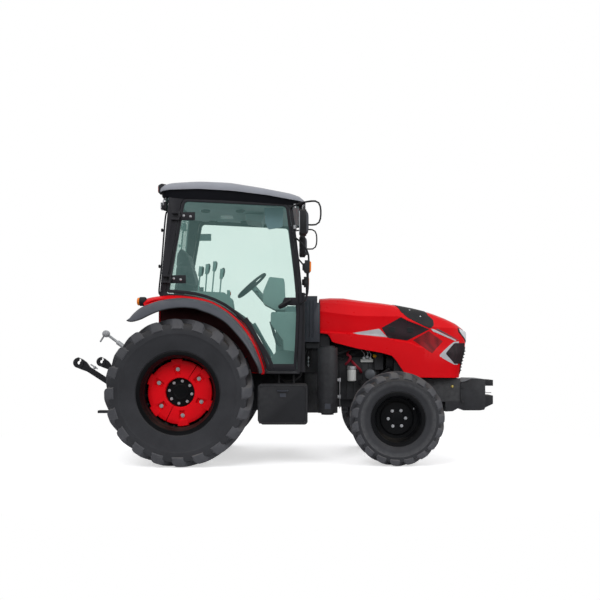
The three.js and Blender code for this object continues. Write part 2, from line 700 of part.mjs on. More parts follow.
function cabFrame() {
  const inner = SIDE.outer - SIDE.depth;
  const across = (x0, z0, x1, z1, half = inner + 1) => block([x0, -half, z0], [x1, half, z1]);
  const right = sideFrame();
  const header = meet(pillarX, eaves).x;
  const bulkhead = [...pillarLine(-30, SILL.low + 1, 1534), ...pillarLine(0, SILL.low + 1, 1534)
    .reverse()];
  return union(
    right, mirrored(right),
    across(header - 70, 2452, header - 20, frameTop(header) - 2),
    across(rearLine(2500) + 3, 2500, rearLine(2500) + 55, 2538),
    across(1058, SILL.low, 1100, SILL.high),
    across(WALL_REAR, 1579, WALL_REAR + 30, 1603),
    block([WALL_REAR, -FLOOR.half, 1045], [WALL_REAR + 20, FLOOR.half, 1580]),
    sidePlate(bulkhead, -COWL.half, COWL.half),
  );
}
piece('cab_frame', cabFrame(), PAINT.black);

function cabFloor() {
  const [low, high] = [SILL.low - 3, SILL.high + 2];
  const front = 1058 - GAP;
  const half = SIDE.outer - SIDE.depth - GAP;
  const rear = WALL_REAR + 20 + GAP;
  const { half: narrow, rearTop, sheet } = FLOOR;
  return union(
    block([640, -narrow, low], [front, narrow, high]),
    block([785, -half, low], [front, half, high]),
    block([640, -narrow, low], [640 + sheet, narrow, rearTop]),
    block([rear, -narrow, rearTop - sheet], [640 + sheet, narrow, rearTop]),
  );
}
piece('cab_floor', cabFloor(), PAINT.plastic);

function cabRoof() {
  const side = [[1140, 2436], [1159, 2463], [1130, 2501], [1007, 2549], [723, 2606], [439, 2653],
    [155, 2667], [-82, 2653], [-190, 2622], [-214, 2590], [-196, eaves(-196) + CLEAR + 1],
    [1045, eaves(1045) + CLEAR + 1]].map((p) => at(...p));
  const radii = [8, 20, 60, 200, 500, 500, 500, 200, 40, 30, 10, 0];
  const [half, base] = [660, 2350];
  const section = [at(-half, base), at(half, base), at(half, 2655), at(540, 2700), at(-540, 2700),
    at(-half, 2655)];
  const edge = [[-214, 600], [-150, half], [1000, half], [1110, 600], [1159, 480]];
  const plan = [...edge.map(([x, y]) => [x, y]), ...edge.map(([x, y]) => [x, -y]).reverse()];
  const planBody = extruded(plan, 400, AXIS.x, AXIS.y, AXIS.z, new THREE.Vector3(0, 0, base));
  const recess = [[-150, base], [1046, base], [1046, frameTop(1046) + GAP],
    [-150, frameTop(-150) + GAP]];
  const crownBody = crossPlate(rounded(section, [0, 0, 60, 120, 120, 60]), -260, 1200);
  const outside = sidePlate(rounded(side, radii, 3), -half - 1, half + 1);
  const hollow = sidePlate(recess, -(SIDE.outer + GAP), SIDE.outer + GAP);
  return cut(outside.intersect(crownBody).intersect(planBody), hollow);
}
piece('cab_roof', cabRoof(), PAINT.roof);

function windshield() {
  const [low, sill, high] = [SILL.high + GAP, 1534 + GAP, 2452 - GAP];
  const half = SIDE.outer - SIDE.depth - GAP;
  const line = [...pillarLine(-14, low, high, 10), ...pillarLine(-14 + GLASS, low, high, 10)
    .reverse()];
  const gap = block([1000, -(COWL.half + GAP + 1), low - 10], [1200, COWL.half + GAP + 1, sill]);
  return cut(sidePlate(line, -half, half), gap);
}
piece('windshield', windshield(), PAINT.glass);

function rearWindow() {
  const [low, high] = [1603 + GAP, 2500 - GAP];
  const half = SIDE.outer - SIDE.depth - GAP;
  const edge = (z, offset) => [rearLine(z, offset), z];
  return sidePlate([edge(low, 8), edge(low, 8 + GLASS), edge(high, 8 + GLASS), edge(high, 8)],
    -half, half);
}
piece('rear_window', rearWindow(), PAINT.glass);

// ---------------------------------------------------------------- doors

// The door's frame, with the moving halves of its hinges and its handle.
function door() {
  const { outer, depth, member, panel } = DOOR;
  const shell = sidePlate(openingInset(CLEAR), -outer, -(outer - depth));
  const window = sidePlate(openingInset(CLEAR + member, CLEAR + panel), -700, -500);
  const hinges = HINGE.heights.flatMap((height) => {
    const half = HINGE.knuckle / 2;
    const x = hingeX(height);
    return [
      barrel(height - half, height + half, -HINGE.y),
      block([x - 4, -(HINGE.y + 3), height - half + 3], [x + 16, -(outer - 2), height + half - 3]),
      block([x + 6, -(outer + 8), height - 38], [x + 146, -(outer - 1), height + 38]),
    ];
  });
  const handle = sidePlate(rounded([at(941, 1520), at(960, 1492), at(1078, 1487), at(1078, 1563),
    at(960, 1563)], [12, 12, 10, 10, 20]), -(outer + 14), -(outer - 4));
  return union(cut(shell, window), ...hinges, handle);
}
pair('door', door(), PAINT.black);

function doorGlass() {
  const middle = DOOR.outer - DOOR.depth / 2;
  const edge = CLEAR + DOOR.member + GAP;
  return sidePlate(openingInset(edge, CLEAR + DOOR.panel + GAP), -(middle + GLASS / 2),
    -(middle - GLASS / 2));
}
const handleKeep = block([935, -DOOR.outer - 1, 1480], [1080, -(DOOR.outer - 5), 1570]);
pair('door_glass', cut(doorGlass(), handleKeep), PAINT.glass);

// ---------------------------------------------------------------- inside the cab

function seatBase() {
  return union(
    block([60, -170, FLOOR.rearTop + GAP], [400, 170, 1130]),
    block([90, -150, 1129], [370, 150, 1330]),
    block([30, -190, 1329], [430, 190, 1370]),
  );
}
piece('seat_base', seatBase(), PAINT.plastic);

function seatCushion() {
  const outline = [at(-38, 1370 + GAP), at(430, 1370 + GAP), at(460, 1440), at(440, 1500),
    at(-38, 1485)];
  return sidePlate(rounded(outline, [20, 30, 30, 40, 20]), -245, 245);
}
piece('seat_cushion', seatCushion(), PAINT.cloth);

function seatBack() {
  const outline = [at(-160, 1372), at(-38 - GAP, 1372), at(-38 - GAP, 1486 + GAP), at(40, 1500),
    at(60, 1600), at(55, 1703), at(-50, 2080), at(-70, 2105), at(-95, 2100), at(-130, 1703),
    at(-165, 1500)];
  return sidePlate(outline, -235, 235);
}
piece('seat_back', seatBack(), PAINT.cloth);

const WHEEL = { x: 615, z: 1733, radius: 190, grip: 14, hub: 46, tilt: 41 };
const column = new THREE.Vector3(-Math.sin(THREE.MathUtils.degToRad(WHEEL.tilt)), 0,
  Math.cos(THREE.MathUtils.degToRad(WHEEL.tilt)));
const alongColumn = (distance) => [WHEEL.x + column.x * distance, 0, WHEEL.z + column.z * distance];

function steeringConsole() {
  const head = [at(735, 1540), at(860, 1476), at(960, 1476), at(947, 1790), at(800, 1806),
    at(738, 1660)];
  return union(
    sidePlate(rounded(head, [20, 10, 20, 20, 20, 40]), -160, 160),
    block([860, -100, SILL.high + 2 + GAP], [960, 100, 1500]),
    rod(alongColumn(-20 - RUNNING), alongColumn(-200), 30, 16),
  );
}
piece('steering_console', steeringConsole(), PAINT.plastic);

function steeringWheel() {
  const ring = new THREE.TorusGeometry(WHEEL.radius - WHEEL.grip, WHEEL.grip, 6, 24);
  const face = new THREE.Quaternion().setFromUnitVectors(AXIS.z, column);
  const rim = solid(ring.applyQuaternion(face).translate(WHEEL.x, 0, WHEEL.z));
  const right = new THREE.Vector3(0, 1, 0);
  const up = column.clone().cross(right);
  const spokes = [90, 210, 330].map((degrees) => {
    const angle = THREE.MathUtils.degToRad(degrees);
    const way = right.clone().multiplyScalar(Math.cos(angle)).addScaledVector(up, Math.sin(angle));
    const tip = way.multiplyScalar(WHEEL.radius - WHEEL.grip);
    return rod([WHEEL.x, 0, WHEEL.z], [WHEEL.x + tip.x, tip.y, WHEEL.z + tip.z], 10, 8);
  });
  return union(rim, rod(alongColumn(-20), alongColumn(22), WHEEL.hub, 16), ...spokes);
}
piece('steering_wheel', steeringWheel(), PAINT.plastic);

// The console beside the driver, with its levers.
function sideConsole() {
  const outer = FENDER.inner - GAP;
  const box = [at(-20, 1480), at(60, 1400), at(420, 1400), at(470, 1470), at(455, 1560),
    at(380, 1625), at(60, 1640), at(-20, 1600)];
  const levers = [[120, 1630, 146, 1881], [190, 1630, 210, 1901], [255, 1625, 283, 1930],
    [330, 1620, 351, 1857]].flatMap(([x0, z0, x1, z1]) => {
    const grip = at(x1 - x0, z1 - z0).normalize().multiplyScalar(95);
    return [rod([x0, -400, z0], [x1, -400, z1], 7, 8),
      rod([x1 - grip.x, -400, z1 - grip.y], [x1, -400, z1], 17, 10)];
  });
  return union(
    sidePlate(rounded(box, [20, 30, 30, 20, 30, 30, 30, 20]), -outer, -330),
    rod([415, -400, 1560], [415, -400, 1650], 16, 10), ...levers,
  );
}
piece('side_console', sideConsole(), PAINT.plastic);

// ---------------------------------------------------------------- hood and cowl

function cowl() {
  const rear = Math.max(...pillarLine(0, COWL.low, 1534, 20).map((p) => p.x)) + GAP;
  const { half, low, high, front, notch, notchZ } = COWL;
  const outline = [[rear, low], [front, low], [front, notchZ], [notch, notchZ + 5], [notch, high],
    [rear, high]];
  const body = sidePlate(outline, -half, half);
  const { x, z, pin, ear, plate, lug } = HOOD_HINGE;
  const ears = [-1, 1].map((side) => {
    const [y0, y1] = [side * ear, side * (ear - plate)].sort((a, b) => a - b);
    const arm = sidePlate([[notch - 1, z - 34], [x + 4, z - 12], [x + 11, z], [x + 5, z + 10],
      [x - 6, z + 9], [x - 13, z - 4], [notch - 1, z - 12]], y0, y1);
    return cut(arm, rod([x, -lug - 30, z], [x, lug + 30, z], pin + RUNNING));
  });
  return union(body, ...ears);
}
piece('cowl', cowl(), PAINT.cowl);

// Cross-sections of the hood at a few stations: x, half width, crease height and top height.
const HOOD_STATIONS = [[1304, 330, 1443, 1590], [1553, 330, 1412, 1575], [1804, 326, 1395, 1544],
  [WHEELBASE, 322, 1388, 1504], [WHEELBASE + 291, 314, 1335, 1444],
  [WHEELBASE + 551, 300, 1245, 1364], [WHEELBASE + 702, 270, 1180, 1294],
  [WHEELBASE + 785, 215, 1120, 1224]];

function hoodRing([x, half, crease, top], sheet) {
  const [w, c, t] = [half - sheet, crease - sheet * 0.4, top - sheet];
  const floor = 700;
  const right = [[w, floor], [w, c], [w - 22, c + (t - c) * 0.32], [w * 0.78, c + (t - c) * 0.78],
    [w * 0.5, t - 6], [w * 0.2, t]];
  const left = right.map(([y, z]) => [-y, z]).reverse();
  return [...right, ...left].map(([y, z]) => [x, y, z]);
}

function hoodShell() {
  const { rear, sheet } = HOOD;
  const nose = [[676, 795], [691, 914], [757, 1105], [767, 1224]].map(([d, z]) => [WHEELBASE + d, z]);
  const ridge = [[702, 1294], [551, 1364], [291, 1444], [0, 1504]].map(([d, z]) => [WHEELBASE + d, z]);
  const arch = [[-67, 1063], [22, 1004], [81, 915], [120, 846], [248, 807]]
    .map(([d, z]) => [WHEELBASE + d, z]);
  const side = [...nose, ...ridge, [1804, 1544], [1553, 1575], [rear, 1590], [rear, 1230],
    [1378, 1220], [1407, 1151], [1663, 1112], [1840, 1087], ...arch].map((p) => at(...p));
  const radii = [10, 60, 60, 40, 120, 0, 0, 0, 0, 0, 0, 10, 40, 30, 0, 0, 100, 0, 60, 50, 60];
  const outer = loft(HOOD_STATIONS.map((row) => hoodRing(row, 0)))
    .intersect(sidePlate(rounded(side, radii, 3), -400, 400));
  const lining = nose.map(([x, z]) => [x - sheet, z]);
  const inside = [[rear - 20, 600], [lining[0][0], 600], ...lining, [lining[3][0], 1700],
    [rear - 20, 1700]];
  const stations = HOOD_STATIONS.map(([x, ...rest], i) => [i ? x : x - 20, ...rest]);
  const inner = loft(stations.map((row) => hoodRing(row, sheet)))
    .intersect(sidePlate(inside, -400, 400));
  return cut(outer, inner);
}

const shell = hoodShell();
const mouth = [at(-205, 838), at(205, 838), at(225, 1085), at(150, 1120), at(-150, 1120),
  at(-225, 1085)];
const mouthRadii = [30, 30, 40, 30, 30, 40];
const grilleCut = (gap) => crossPlate(rounded(inset(mouth, gap), mouthRadii),
  WHEELBASE + 555, WHEELBASE + 845);

function hood() {
  const { x, z, pin, ear, plate, lug } = HOOD_HINGE;
  const lugs = [-1, 1].flatMap((side) => {
    const [y0, y1] = [side * lug, side * (lug + plate)].sort((a, b) => a - b);
    const [p0, p1] = [side * (ear - plate - 4), side * (lug + 1)].sort((a, b) => a - b);
    return [
      sidePlate([[x - 9, z - 4], [x, z - 11], [x + 40, z - 6], [x + 40, z + 12], [x - 9, z + 15]],
        y0, y1),
      rod([x, p0, z], [x, p1, z], pin),
    ];
  });
  return union(cut(shell, grilleCut(0)), ...lugs);
}
piece('hood', hood(), PAINT.red);
piece('grille', shell.intersect(grilleCut(GAP)), PAINT.plastic);

// ---------------------------------------------------------------- mirrors and lamp rails

function mirror() {
  const post = SIDE.outer + GAP;
  const bow = bentRod([[1025, -post, 2400], [1025, -(post + 12), 2400],
    [1026, -(post + 45), 2402], [1150, -745, 2432],
    [1262, -772, 2432], [1290, -776, 2395], [1290, -776, 2262], [1262, -774, 2224],
    [1140, -765, 2221]], 9);
  const head = [at(-660, 2150), at(-675, 2130), at(-825, 2130), at(-840, 2150), at(-840, 2335),
    at(-825, 2350), at(-675, 2350), at(-660, 2335)].reverse();
  return union(bow, crossPlate(head, 1105, 1165));
}
pair('mirror', mirror(), PAINT.plastic);

function signalBar() {
  const post = SIDE.outer + GAP;
  const rail = bentRod([[1060, -post, 2122], [1060, -(post + 12), 2122],
    [1064, -(post + 40), 2118], [1130, -712, 2050],
    [1182, -720, 1960], [1180, -720, 1780], [1176, -720, 1600], [1150, -700, 1525],
    [1116, -(post + 40), 1507],
    [1114, -(post + 12), 1506], [1114, -post, 1506]], 9);
  return union(rail, block([1150, -745, 1782], [1196, -697, 1898]));
}
pair('signal_bar', signalBar(), PAINT.plastic);

// ---------------------------------------------------------------- three-point hitch

const linkWay = new THREE.Vector3(-Math.cos(THREE.MathUtils.degToRad(LINK.angle)), 0,
  Math.sin(THREE.MathUtils.degToRad(LINK.angle)));
const alongLink = ({ x, z }, distance, off = 0) =>
  [x + linkWay.x * distance + linkWay.z * off, z + linkWay.z * distance - linkWay.x * off];

function lowerLink() {
  const { y, thick, half, length, pin } = LINK;
  const bar = [[-34, -20], [-34, 20], [-16, 34], [30, 32], [90, half], [length - 120, half],
    [length - 70, 46], [length - 20, 50], [length + 30, 42], [length + 34, 30], [length + 22, 24],
    [length + 24, -18], [length + 30, -30], [length, -50], [length - 60, -40],
    [length - 120, -half], [90, -half], [30, -32], [-16, -34]];
  const outline = bar.map(([d, off]) => alongLink(LINK, d, off));
  const [y0, y1] = [-(y + thick / 2), -(y - thick / 2)];
  const hole = ({ d, r }) => {
    const [x, z] = alongLink(LINK, d);
    return rod([x, y0 - 5, z], [x, y1 + 5, z], r);
  };
  const [hx, hz] = alongLink(LINK, length, 28);
  return cut(sidePlate(outline, y0, y1), hole({ d: 0, r: pin + RUNNING }),
    hole({ d: LIFT.length, r: LIFT.pin + RUNNING }), hole({ d: length - 8, r: 22 }),
    rod([hx, y0 - 5, hz], [hx, y1 + 5, hz], 16));
}
pair('lower_link', lowerLink(), PAINT.iron);

const armTip = alongLink(LIFT, LIFT.length);
const rodFoot = alongLink(LINK, LIFT.length);

function liftArms() {
  const { x, z, shaft, armOuter, arm, pin } = LIFT;
  const arms = [-1, 1].flatMap((side) => {
    const [y0, y1] = [side * armOuter, side * (armOuter - arm)].sort((a, b) => a - b);
    const outline = [[-40, -38], [0, -55], [60, -46], [LIFT.length, -24], [LIFT.length + 26, 0],
      [LIFT.length, 24], [60, 46], [0, 55], [-40, 38]].map(([d, off]) => alongLink(LIFT, d, off));
    return [sidePlate(outline, y0, y1), rod([armTip[0], side * (armOuter - 1), armTip[1]],
      [armTip[0], side * (ROD.y + ROD.thick / 2 + 4), armTip[1]], pin)];
  });
  return union(rod([x, -armOuter, z], [x, armOuter, z], shaft, 24), ...arms);
}
piece('lift_arms', liftArms(), PAINT.iron);

function liftRod() {
  const { y, thick, eye, radius } = ROD;
  const { pin } = LIFT;
  const [[x0, z0], [x1, z1]] = [armTip, rodFoot];
  const disc = (x, z) => rod([x, -(y + thick / 2), z], [x, -(y - thick / 2), z], eye, 16);
  const at3 = (t) => [x0 + (x1 - x0) * t, -y, z0 + (z1 - z0) * t];
  return cut(union(disc(x0, z0), disc(x1, z1), rod(at3(0.03), at3(0.97), radius, 12),
    rod(at3(0.3), at3(0.62), radius + 6),
    rod([x1, -y, z1], [x1, -(LINK.y - LINK.thick / 2 - 2), z1], pin)),
  rod([x0, -(y + thick), z0], [x0, -(y - thick), z0], pin + RUNNING));
}
pair('lift_rod', liftRod(), PAINT.steel);

function topLink() {
  const [front, rear] = [[-300, 815], [-878, 1239]];
  const way = at(rear[0] - front[0], rear[1] - front[1]);
  const along = (t) => [front[0] + way.x * t, 0, front[1] + way.y * t];
  const eye = rod([front[0], -20, front[1]], [front[0], 20, front[1]], 30, 16);
  const ball = rod([rear[0], -22, rear[1]], [rear[0], 22, rear[1]], 36, 16);
  return cut(union(eye, ball, rod(along(0.03), along(0.97), 14, 12),
    rod(along(0.3), along(0.8), 24), rod([-898, 0, 1222], [-939, 0, 1156], 9, 10)),
  rod([front[0], -25, front[1]], [front[0], 25, front[1]], 12 + RUNNING));
}
piece('top_link', topLink(), PAINT.steel);

// ---------------------------------------------------------------- the whole tractor

vehicle.updateMatrixWorld(true);
const box = new THREE.Box3().setFromObject(vehicle, true);
vehicle.position.x = -(box.min.x + box.max.x) / 2;
const tractor = new THREE.Group();
tractor.add(vehicle);

export default tractor;
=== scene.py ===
"""Looks of a compact farm tractor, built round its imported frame.

Blender works in metres. Places are given in millimetres from the point on the ground under the
rear axle (+X forward, +Y left, +Z up), and at() turns them into the frame's own metres.
"""
import json
import math

import bmesh
import bpy
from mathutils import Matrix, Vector
from mathutils.bvhtree import BVHTree

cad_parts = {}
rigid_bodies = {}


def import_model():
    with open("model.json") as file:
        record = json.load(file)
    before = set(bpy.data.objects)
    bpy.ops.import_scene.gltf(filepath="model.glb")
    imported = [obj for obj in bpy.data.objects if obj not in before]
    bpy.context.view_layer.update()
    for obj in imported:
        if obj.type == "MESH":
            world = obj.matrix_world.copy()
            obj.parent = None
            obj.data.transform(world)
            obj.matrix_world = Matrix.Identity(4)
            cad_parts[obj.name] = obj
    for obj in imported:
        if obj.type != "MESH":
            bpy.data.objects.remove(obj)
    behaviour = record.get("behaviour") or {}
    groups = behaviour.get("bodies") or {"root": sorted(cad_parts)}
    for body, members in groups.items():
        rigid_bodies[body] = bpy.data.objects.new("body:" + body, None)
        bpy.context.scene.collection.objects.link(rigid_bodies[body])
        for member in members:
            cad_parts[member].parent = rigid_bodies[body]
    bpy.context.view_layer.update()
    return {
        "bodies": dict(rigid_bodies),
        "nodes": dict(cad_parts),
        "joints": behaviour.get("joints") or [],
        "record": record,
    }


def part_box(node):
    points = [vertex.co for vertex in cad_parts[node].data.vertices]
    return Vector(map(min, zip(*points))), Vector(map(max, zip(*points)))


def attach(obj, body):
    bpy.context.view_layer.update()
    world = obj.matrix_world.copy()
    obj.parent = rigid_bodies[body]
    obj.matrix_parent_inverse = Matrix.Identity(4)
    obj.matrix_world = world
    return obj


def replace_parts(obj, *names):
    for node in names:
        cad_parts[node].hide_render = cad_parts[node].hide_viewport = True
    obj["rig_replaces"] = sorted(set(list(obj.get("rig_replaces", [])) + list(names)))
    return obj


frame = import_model()
NODES = frame["nodes"]

MM = 0.001
SIDES = {"left": 1, "right": -1}


def middle(node):
    """The middle of a CAD node's box."""
    low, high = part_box(node)
    return (Vector(low) + Vector(high)) / 2


REAR_AXLE_X = middle("rear_rim_right").x


def at(x, y, z):
    """A place in millimetres from the rear axle's point on the ground, in the frame's metres."""
    return Vector((REAR_AXLE_X + x * MM, y * MM, z * MM))


def beside(side):
    """at() for one side of the tractor, where y counts outward from its middle."""
    return lambda x, y, z: at(x, side * y, z)


# ---------------------------------------------------------------- materials


def linear(colour):
    """A colour of three numbers from 0 to 255, as Blender's linear colour."""
    parts = [c / 255 for c in colour]
    return [c / 12.92 if c <= 0.04045 else ((c + 0.055) / 1.055) ** 2.4 for c in parts] + [1.0]


class Nodes:
    """A small helper that adds and joins shader nodes."""

    def __init__(self, material):
        material.use_nodes = True
        self.tree = material.node_tree
        self.shader = self.tree.nodes["Principled BSDF"]

    def add(self, kind, **values):
        node = self.tree.nodes.new(kind)
        for name, value in values.items():
            if name in node.inputs:
                node.inputs[name].default_value = value
            else:
                setattr(node, name, value)
        return node

    def link(self, source, target):
        self.tree.links.new(source, target)

    def noise(self, scale, detail=4.0, rough=0.55, stretch=None):
        place = self.add("ShaderNodeTexCoord").outputs["Object"]
        if stretch:
            mapping = self.add("ShaderNodeMapping")
            mapping.inputs["Scale"].default_value = stretch
            self.link(place, mapping.inputs["Vector"])
            place = mapping.outputs["Vector"]
        grain = self.add("ShaderNodeTexNoise", Scale=scale, Detail=detail, Roughness=rough)
        self.link(place, grain.inputs["Vector"])
        return grain.outputs["Fac"]

    def ranged(self, value, low, high, to_low=0.0, to_high=1.0):
        node = self.add("ShaderNodeMapRange")
        for name, number in zip(("From Min", "From Max", "To Min", "To Max"),
                                (low, high, to_low, to_high)):
            node.inputs[name].default_value = number
        self.link(value, node.inputs["Value"])
        return node.outputs["Result"]

    def times(self, a, b):
        node = self.add("ShaderNodeMath", operation="MULTIPLY")
        self.link(a, node.inputs[0])
        self.link(b, node.inputs[1])
        return node.outputs["Value"]

    def mix(self, amount, a, b):
        node = self.add("ShaderNodeMix", data_type="RGBA")
        self.link(amount, node.inputs[0])
        for value, slot in ((a, node.inputs[6]), (b, node.inputs[7])):
            if isinstance(value, list):
                slot.default_value = value
            else:
                self.link(value, slot)
        return node.outputs[2]


def shade(colour, factor):
    """A linear colour made lighter or darker."""
    return [min(c * factor, 1.0) for c in colour[:3]] + [1.0]


DUST = linear((150, 140, 125))


def surface(name, colour, rough=0.5, metal=0.0, vary=0.12, scale=6.0, uneven=0.1, bump=0.1,
            grain=180.0, dust=0.15, wear=0.25, coat=0.0, stretch=None, shine=0.35):
    """A painted, moulded or cast surface: blotchy colour, uneven gloss, fine grain, dust on what
    faces up and rubbed edges."""
    material = bpy.data.materials.new(name)
    nodes = Nodes(material)
    base = linear(colour)
    blotch = nodes.ranged(nodes.noise(scale, stretch=stretch), 0.3, 0.7)
    colour_now = nodes.mix(blotch, shade(base, 1 - vary), shade(base, 1 + vary))
    if wear:
        edge = nodes.add("ShaderNodeNewGeometry").outputs["Pointiness"]
        rubbed = nodes.times(nodes.ranged(edge, 0.53, 0.6, 0.0, wear), nodes.noise(30.0))
        colour_now = nodes.mix(rubbed, colour_now, shade([c + 0.12 for c in base[:3]], 1.3))
    if dust:
        normal = nodes.add("ShaderNodeNewGeometry").outputs["Normal"]
        parts = nodes.add("ShaderNodeSeparateXYZ")
        nodes.link(normal, parts.inputs[0])
        facing_up = nodes.ranged(parts.outputs["Z"], 0.2, 1.0, 0.0, dust)
        settled = nodes.times(facing_up, nodes.ranged(nodes.noise(3.0), 0.35, 0.65))
        colour_now = nodes.mix(settled, colour_now, DUST)
    nodes.link(colour_now, nodes.shader.inputs["Base Color"])
    gloss = nodes.ranged(nodes.noise(scale * 2.5), 0.3, 0.7, rough * (1 - uneven), rough * (1 + uneven))
    nodes.link(gloss, nodes.shader.inputs["Roughness"])
    nodes.shader.inputs["Metallic"].default_value = metal
    nodes.shader.inputs["Specular IOR Level"].default_value = shine
    if coat:
        nodes.shader.inputs["Coat Weight"].default_value = coat
        nodes.shader.inputs["Coat Roughness"].default_value = 0.06
    relief = nodes.add("ShaderNodeBump", Strength=bump, Distance=0.002)
    nodes.link(nodes.noise(grain, detail=3.0), relief.inputs["Height"])
    nodes.link(relief.outputs["Normal"], nodes.shader.inputs["Normal"])
    return material


def glass_pane():
    """Thin greenish safety glass: mostly see-through, with a faint painted glow, an emission that stands in
    for haze lit in the pane.
    """
    material = bpy.data.materials.new("tinted_glass")
    nodes = Nodes(material)
    film = nodes.ranged(nodes.noise(2.5), 0.35, 0.75, 0.0, 1.0)
    tint = nodes.mix(film, linear((246, 250, 248)), linear((244, 249, 247)))
    clear = nodes.add("ShaderNodeBsdfTransparent")
    nodes.link(tint, clear.inputs["Color"])
    gloss = nodes.add("ShaderNodeBsdfGlossy", Roughness=0.03)
    gloss.inputs["Color"].default_value = linear((225, 240, 236))
    # painted light: a weak emission in place of haze that the lamps and the white surroundings would light
    painted_glow = nodes.add("ShaderNodeEmission", Strength=0.95)
    painted_glow.inputs["Color"].default_value = linear((196, 255, 250))
    fresnel = nodes.add("ShaderNodeFresnel", IOR=1.45)
    mirror_like = nodes.add("ShaderNodeMixShader")
    nodes.link(nodes.ranged(fresnel.outputs["Fac"], 0.0, 1.0, 0.0, 0.5), mirror_like.inputs[0])
    nodes.link(clear.outputs[0], mirror_like.inputs[1])
    nodes.link(gloss.outputs[0], mirror_like.inputs[2])
    # blends a small, patchy share of the painted glow over the pane
    glow_mix = nodes.add("ShaderNodeMixShader")
    nodes.link(nodes.ranged(nodes.noise(3.0), 0.3, 0.7, 0.036, 0.044), glow_mix.inputs[0])
    nodes.link(mirror_like.outputs[0], glow_mix.inputs[1])
    nodes.link(painted_glow.outputs[0], glow_mix.inputs[2])
    nodes.link(glow_mix.outputs[0], nodes.tree.nodes["Material Output"].inputs["Surface"])
    nodes.tree.nodes.remove(nodes.shader)
    return material


def lens(name, colour, glow=0.0):
    """A moulded lamp lens with fine ribs, and a faint painted glow: an emission that stands in for light
    caught in the lens.
    """
    material = surface(name, colour, rough=0.16, vary=0.08, bump=0.3, grain=90.0, dust=0.05,
                       wear=0.0, coat=0.6, stretch=(1, 1, 12))
    shader = material.node_tree.nodes["Principled BSDF"]
    # painted light: the lens emits a little of its own colour
    shader.inputs["Emission Color"].default_value = linear(colour)
    shader.inputs["Emission Strength"].default_value = glow
    return material


def woven():
    """Grey seat cloth with a plain weave."""
    material = surface("seat_weave", (88, 96, 100), rough=0.92, vary=0.2, bump=0.0, wear=0.1)
    nodes = Nodes(material)
    place = nodes.add("ShaderNodeTexCoord").outputs["Object"]
    waves = []
    for direction in ("Y", "DIAGONAL"):
        wave = nodes.add("ShaderNodeTexWave", Scale=110.0, Distortion=0.6, bands_direction=direction)
        nodes.link(place, wave.inputs["Vector"])
        waves.append(wave.outputs["Fac"])
    relief = nodes.add("ShaderNodeBump", Strength=0.5, Distance=0.0015)
    nodes.link(nodes.times(*waves), relief.inputs["Height"])
    nodes.link(relief.outputs["Normal"], nodes.shader.inputs["Normal"])
    nodes.shader.inputs["Sheen Weight"].default_value = 0.35
    return material


def perforated(name, colour, pitch, hole=0.36):
    """Sheet with rows of small round holes, painted near-black inside: painted shade for the dark space seen
    through them.
    """
    material = surface(name, colour, rough=0.5, bump=0.05, wear=0.0, dust=0.05)
    nodes = Nodes(material)
    cells = nodes.add("ShaderNodeTexVoronoi", Scale=1 / pitch, Randomness=0.0)
    place = nodes.add("ShaderNodeTexCoord").outputs["Object"]
    nodes.link(place, cells.inputs["Vector"])
    # the holes are painted, not cut: near-black painted shade where the space behind the sheet would show
    hole_shade = nodes.ranged(cells.outputs["Distance"], hole - 0.04, hole + 0.04, 1.0, 0.0)
    base = nodes.shader.inputs["Base Color"].links[0].from_socket
    nodes.link(nodes.mix(hole_shade, base, linear((8, 8, 9))), nodes.shader.inputs["Base Color"])
    return material


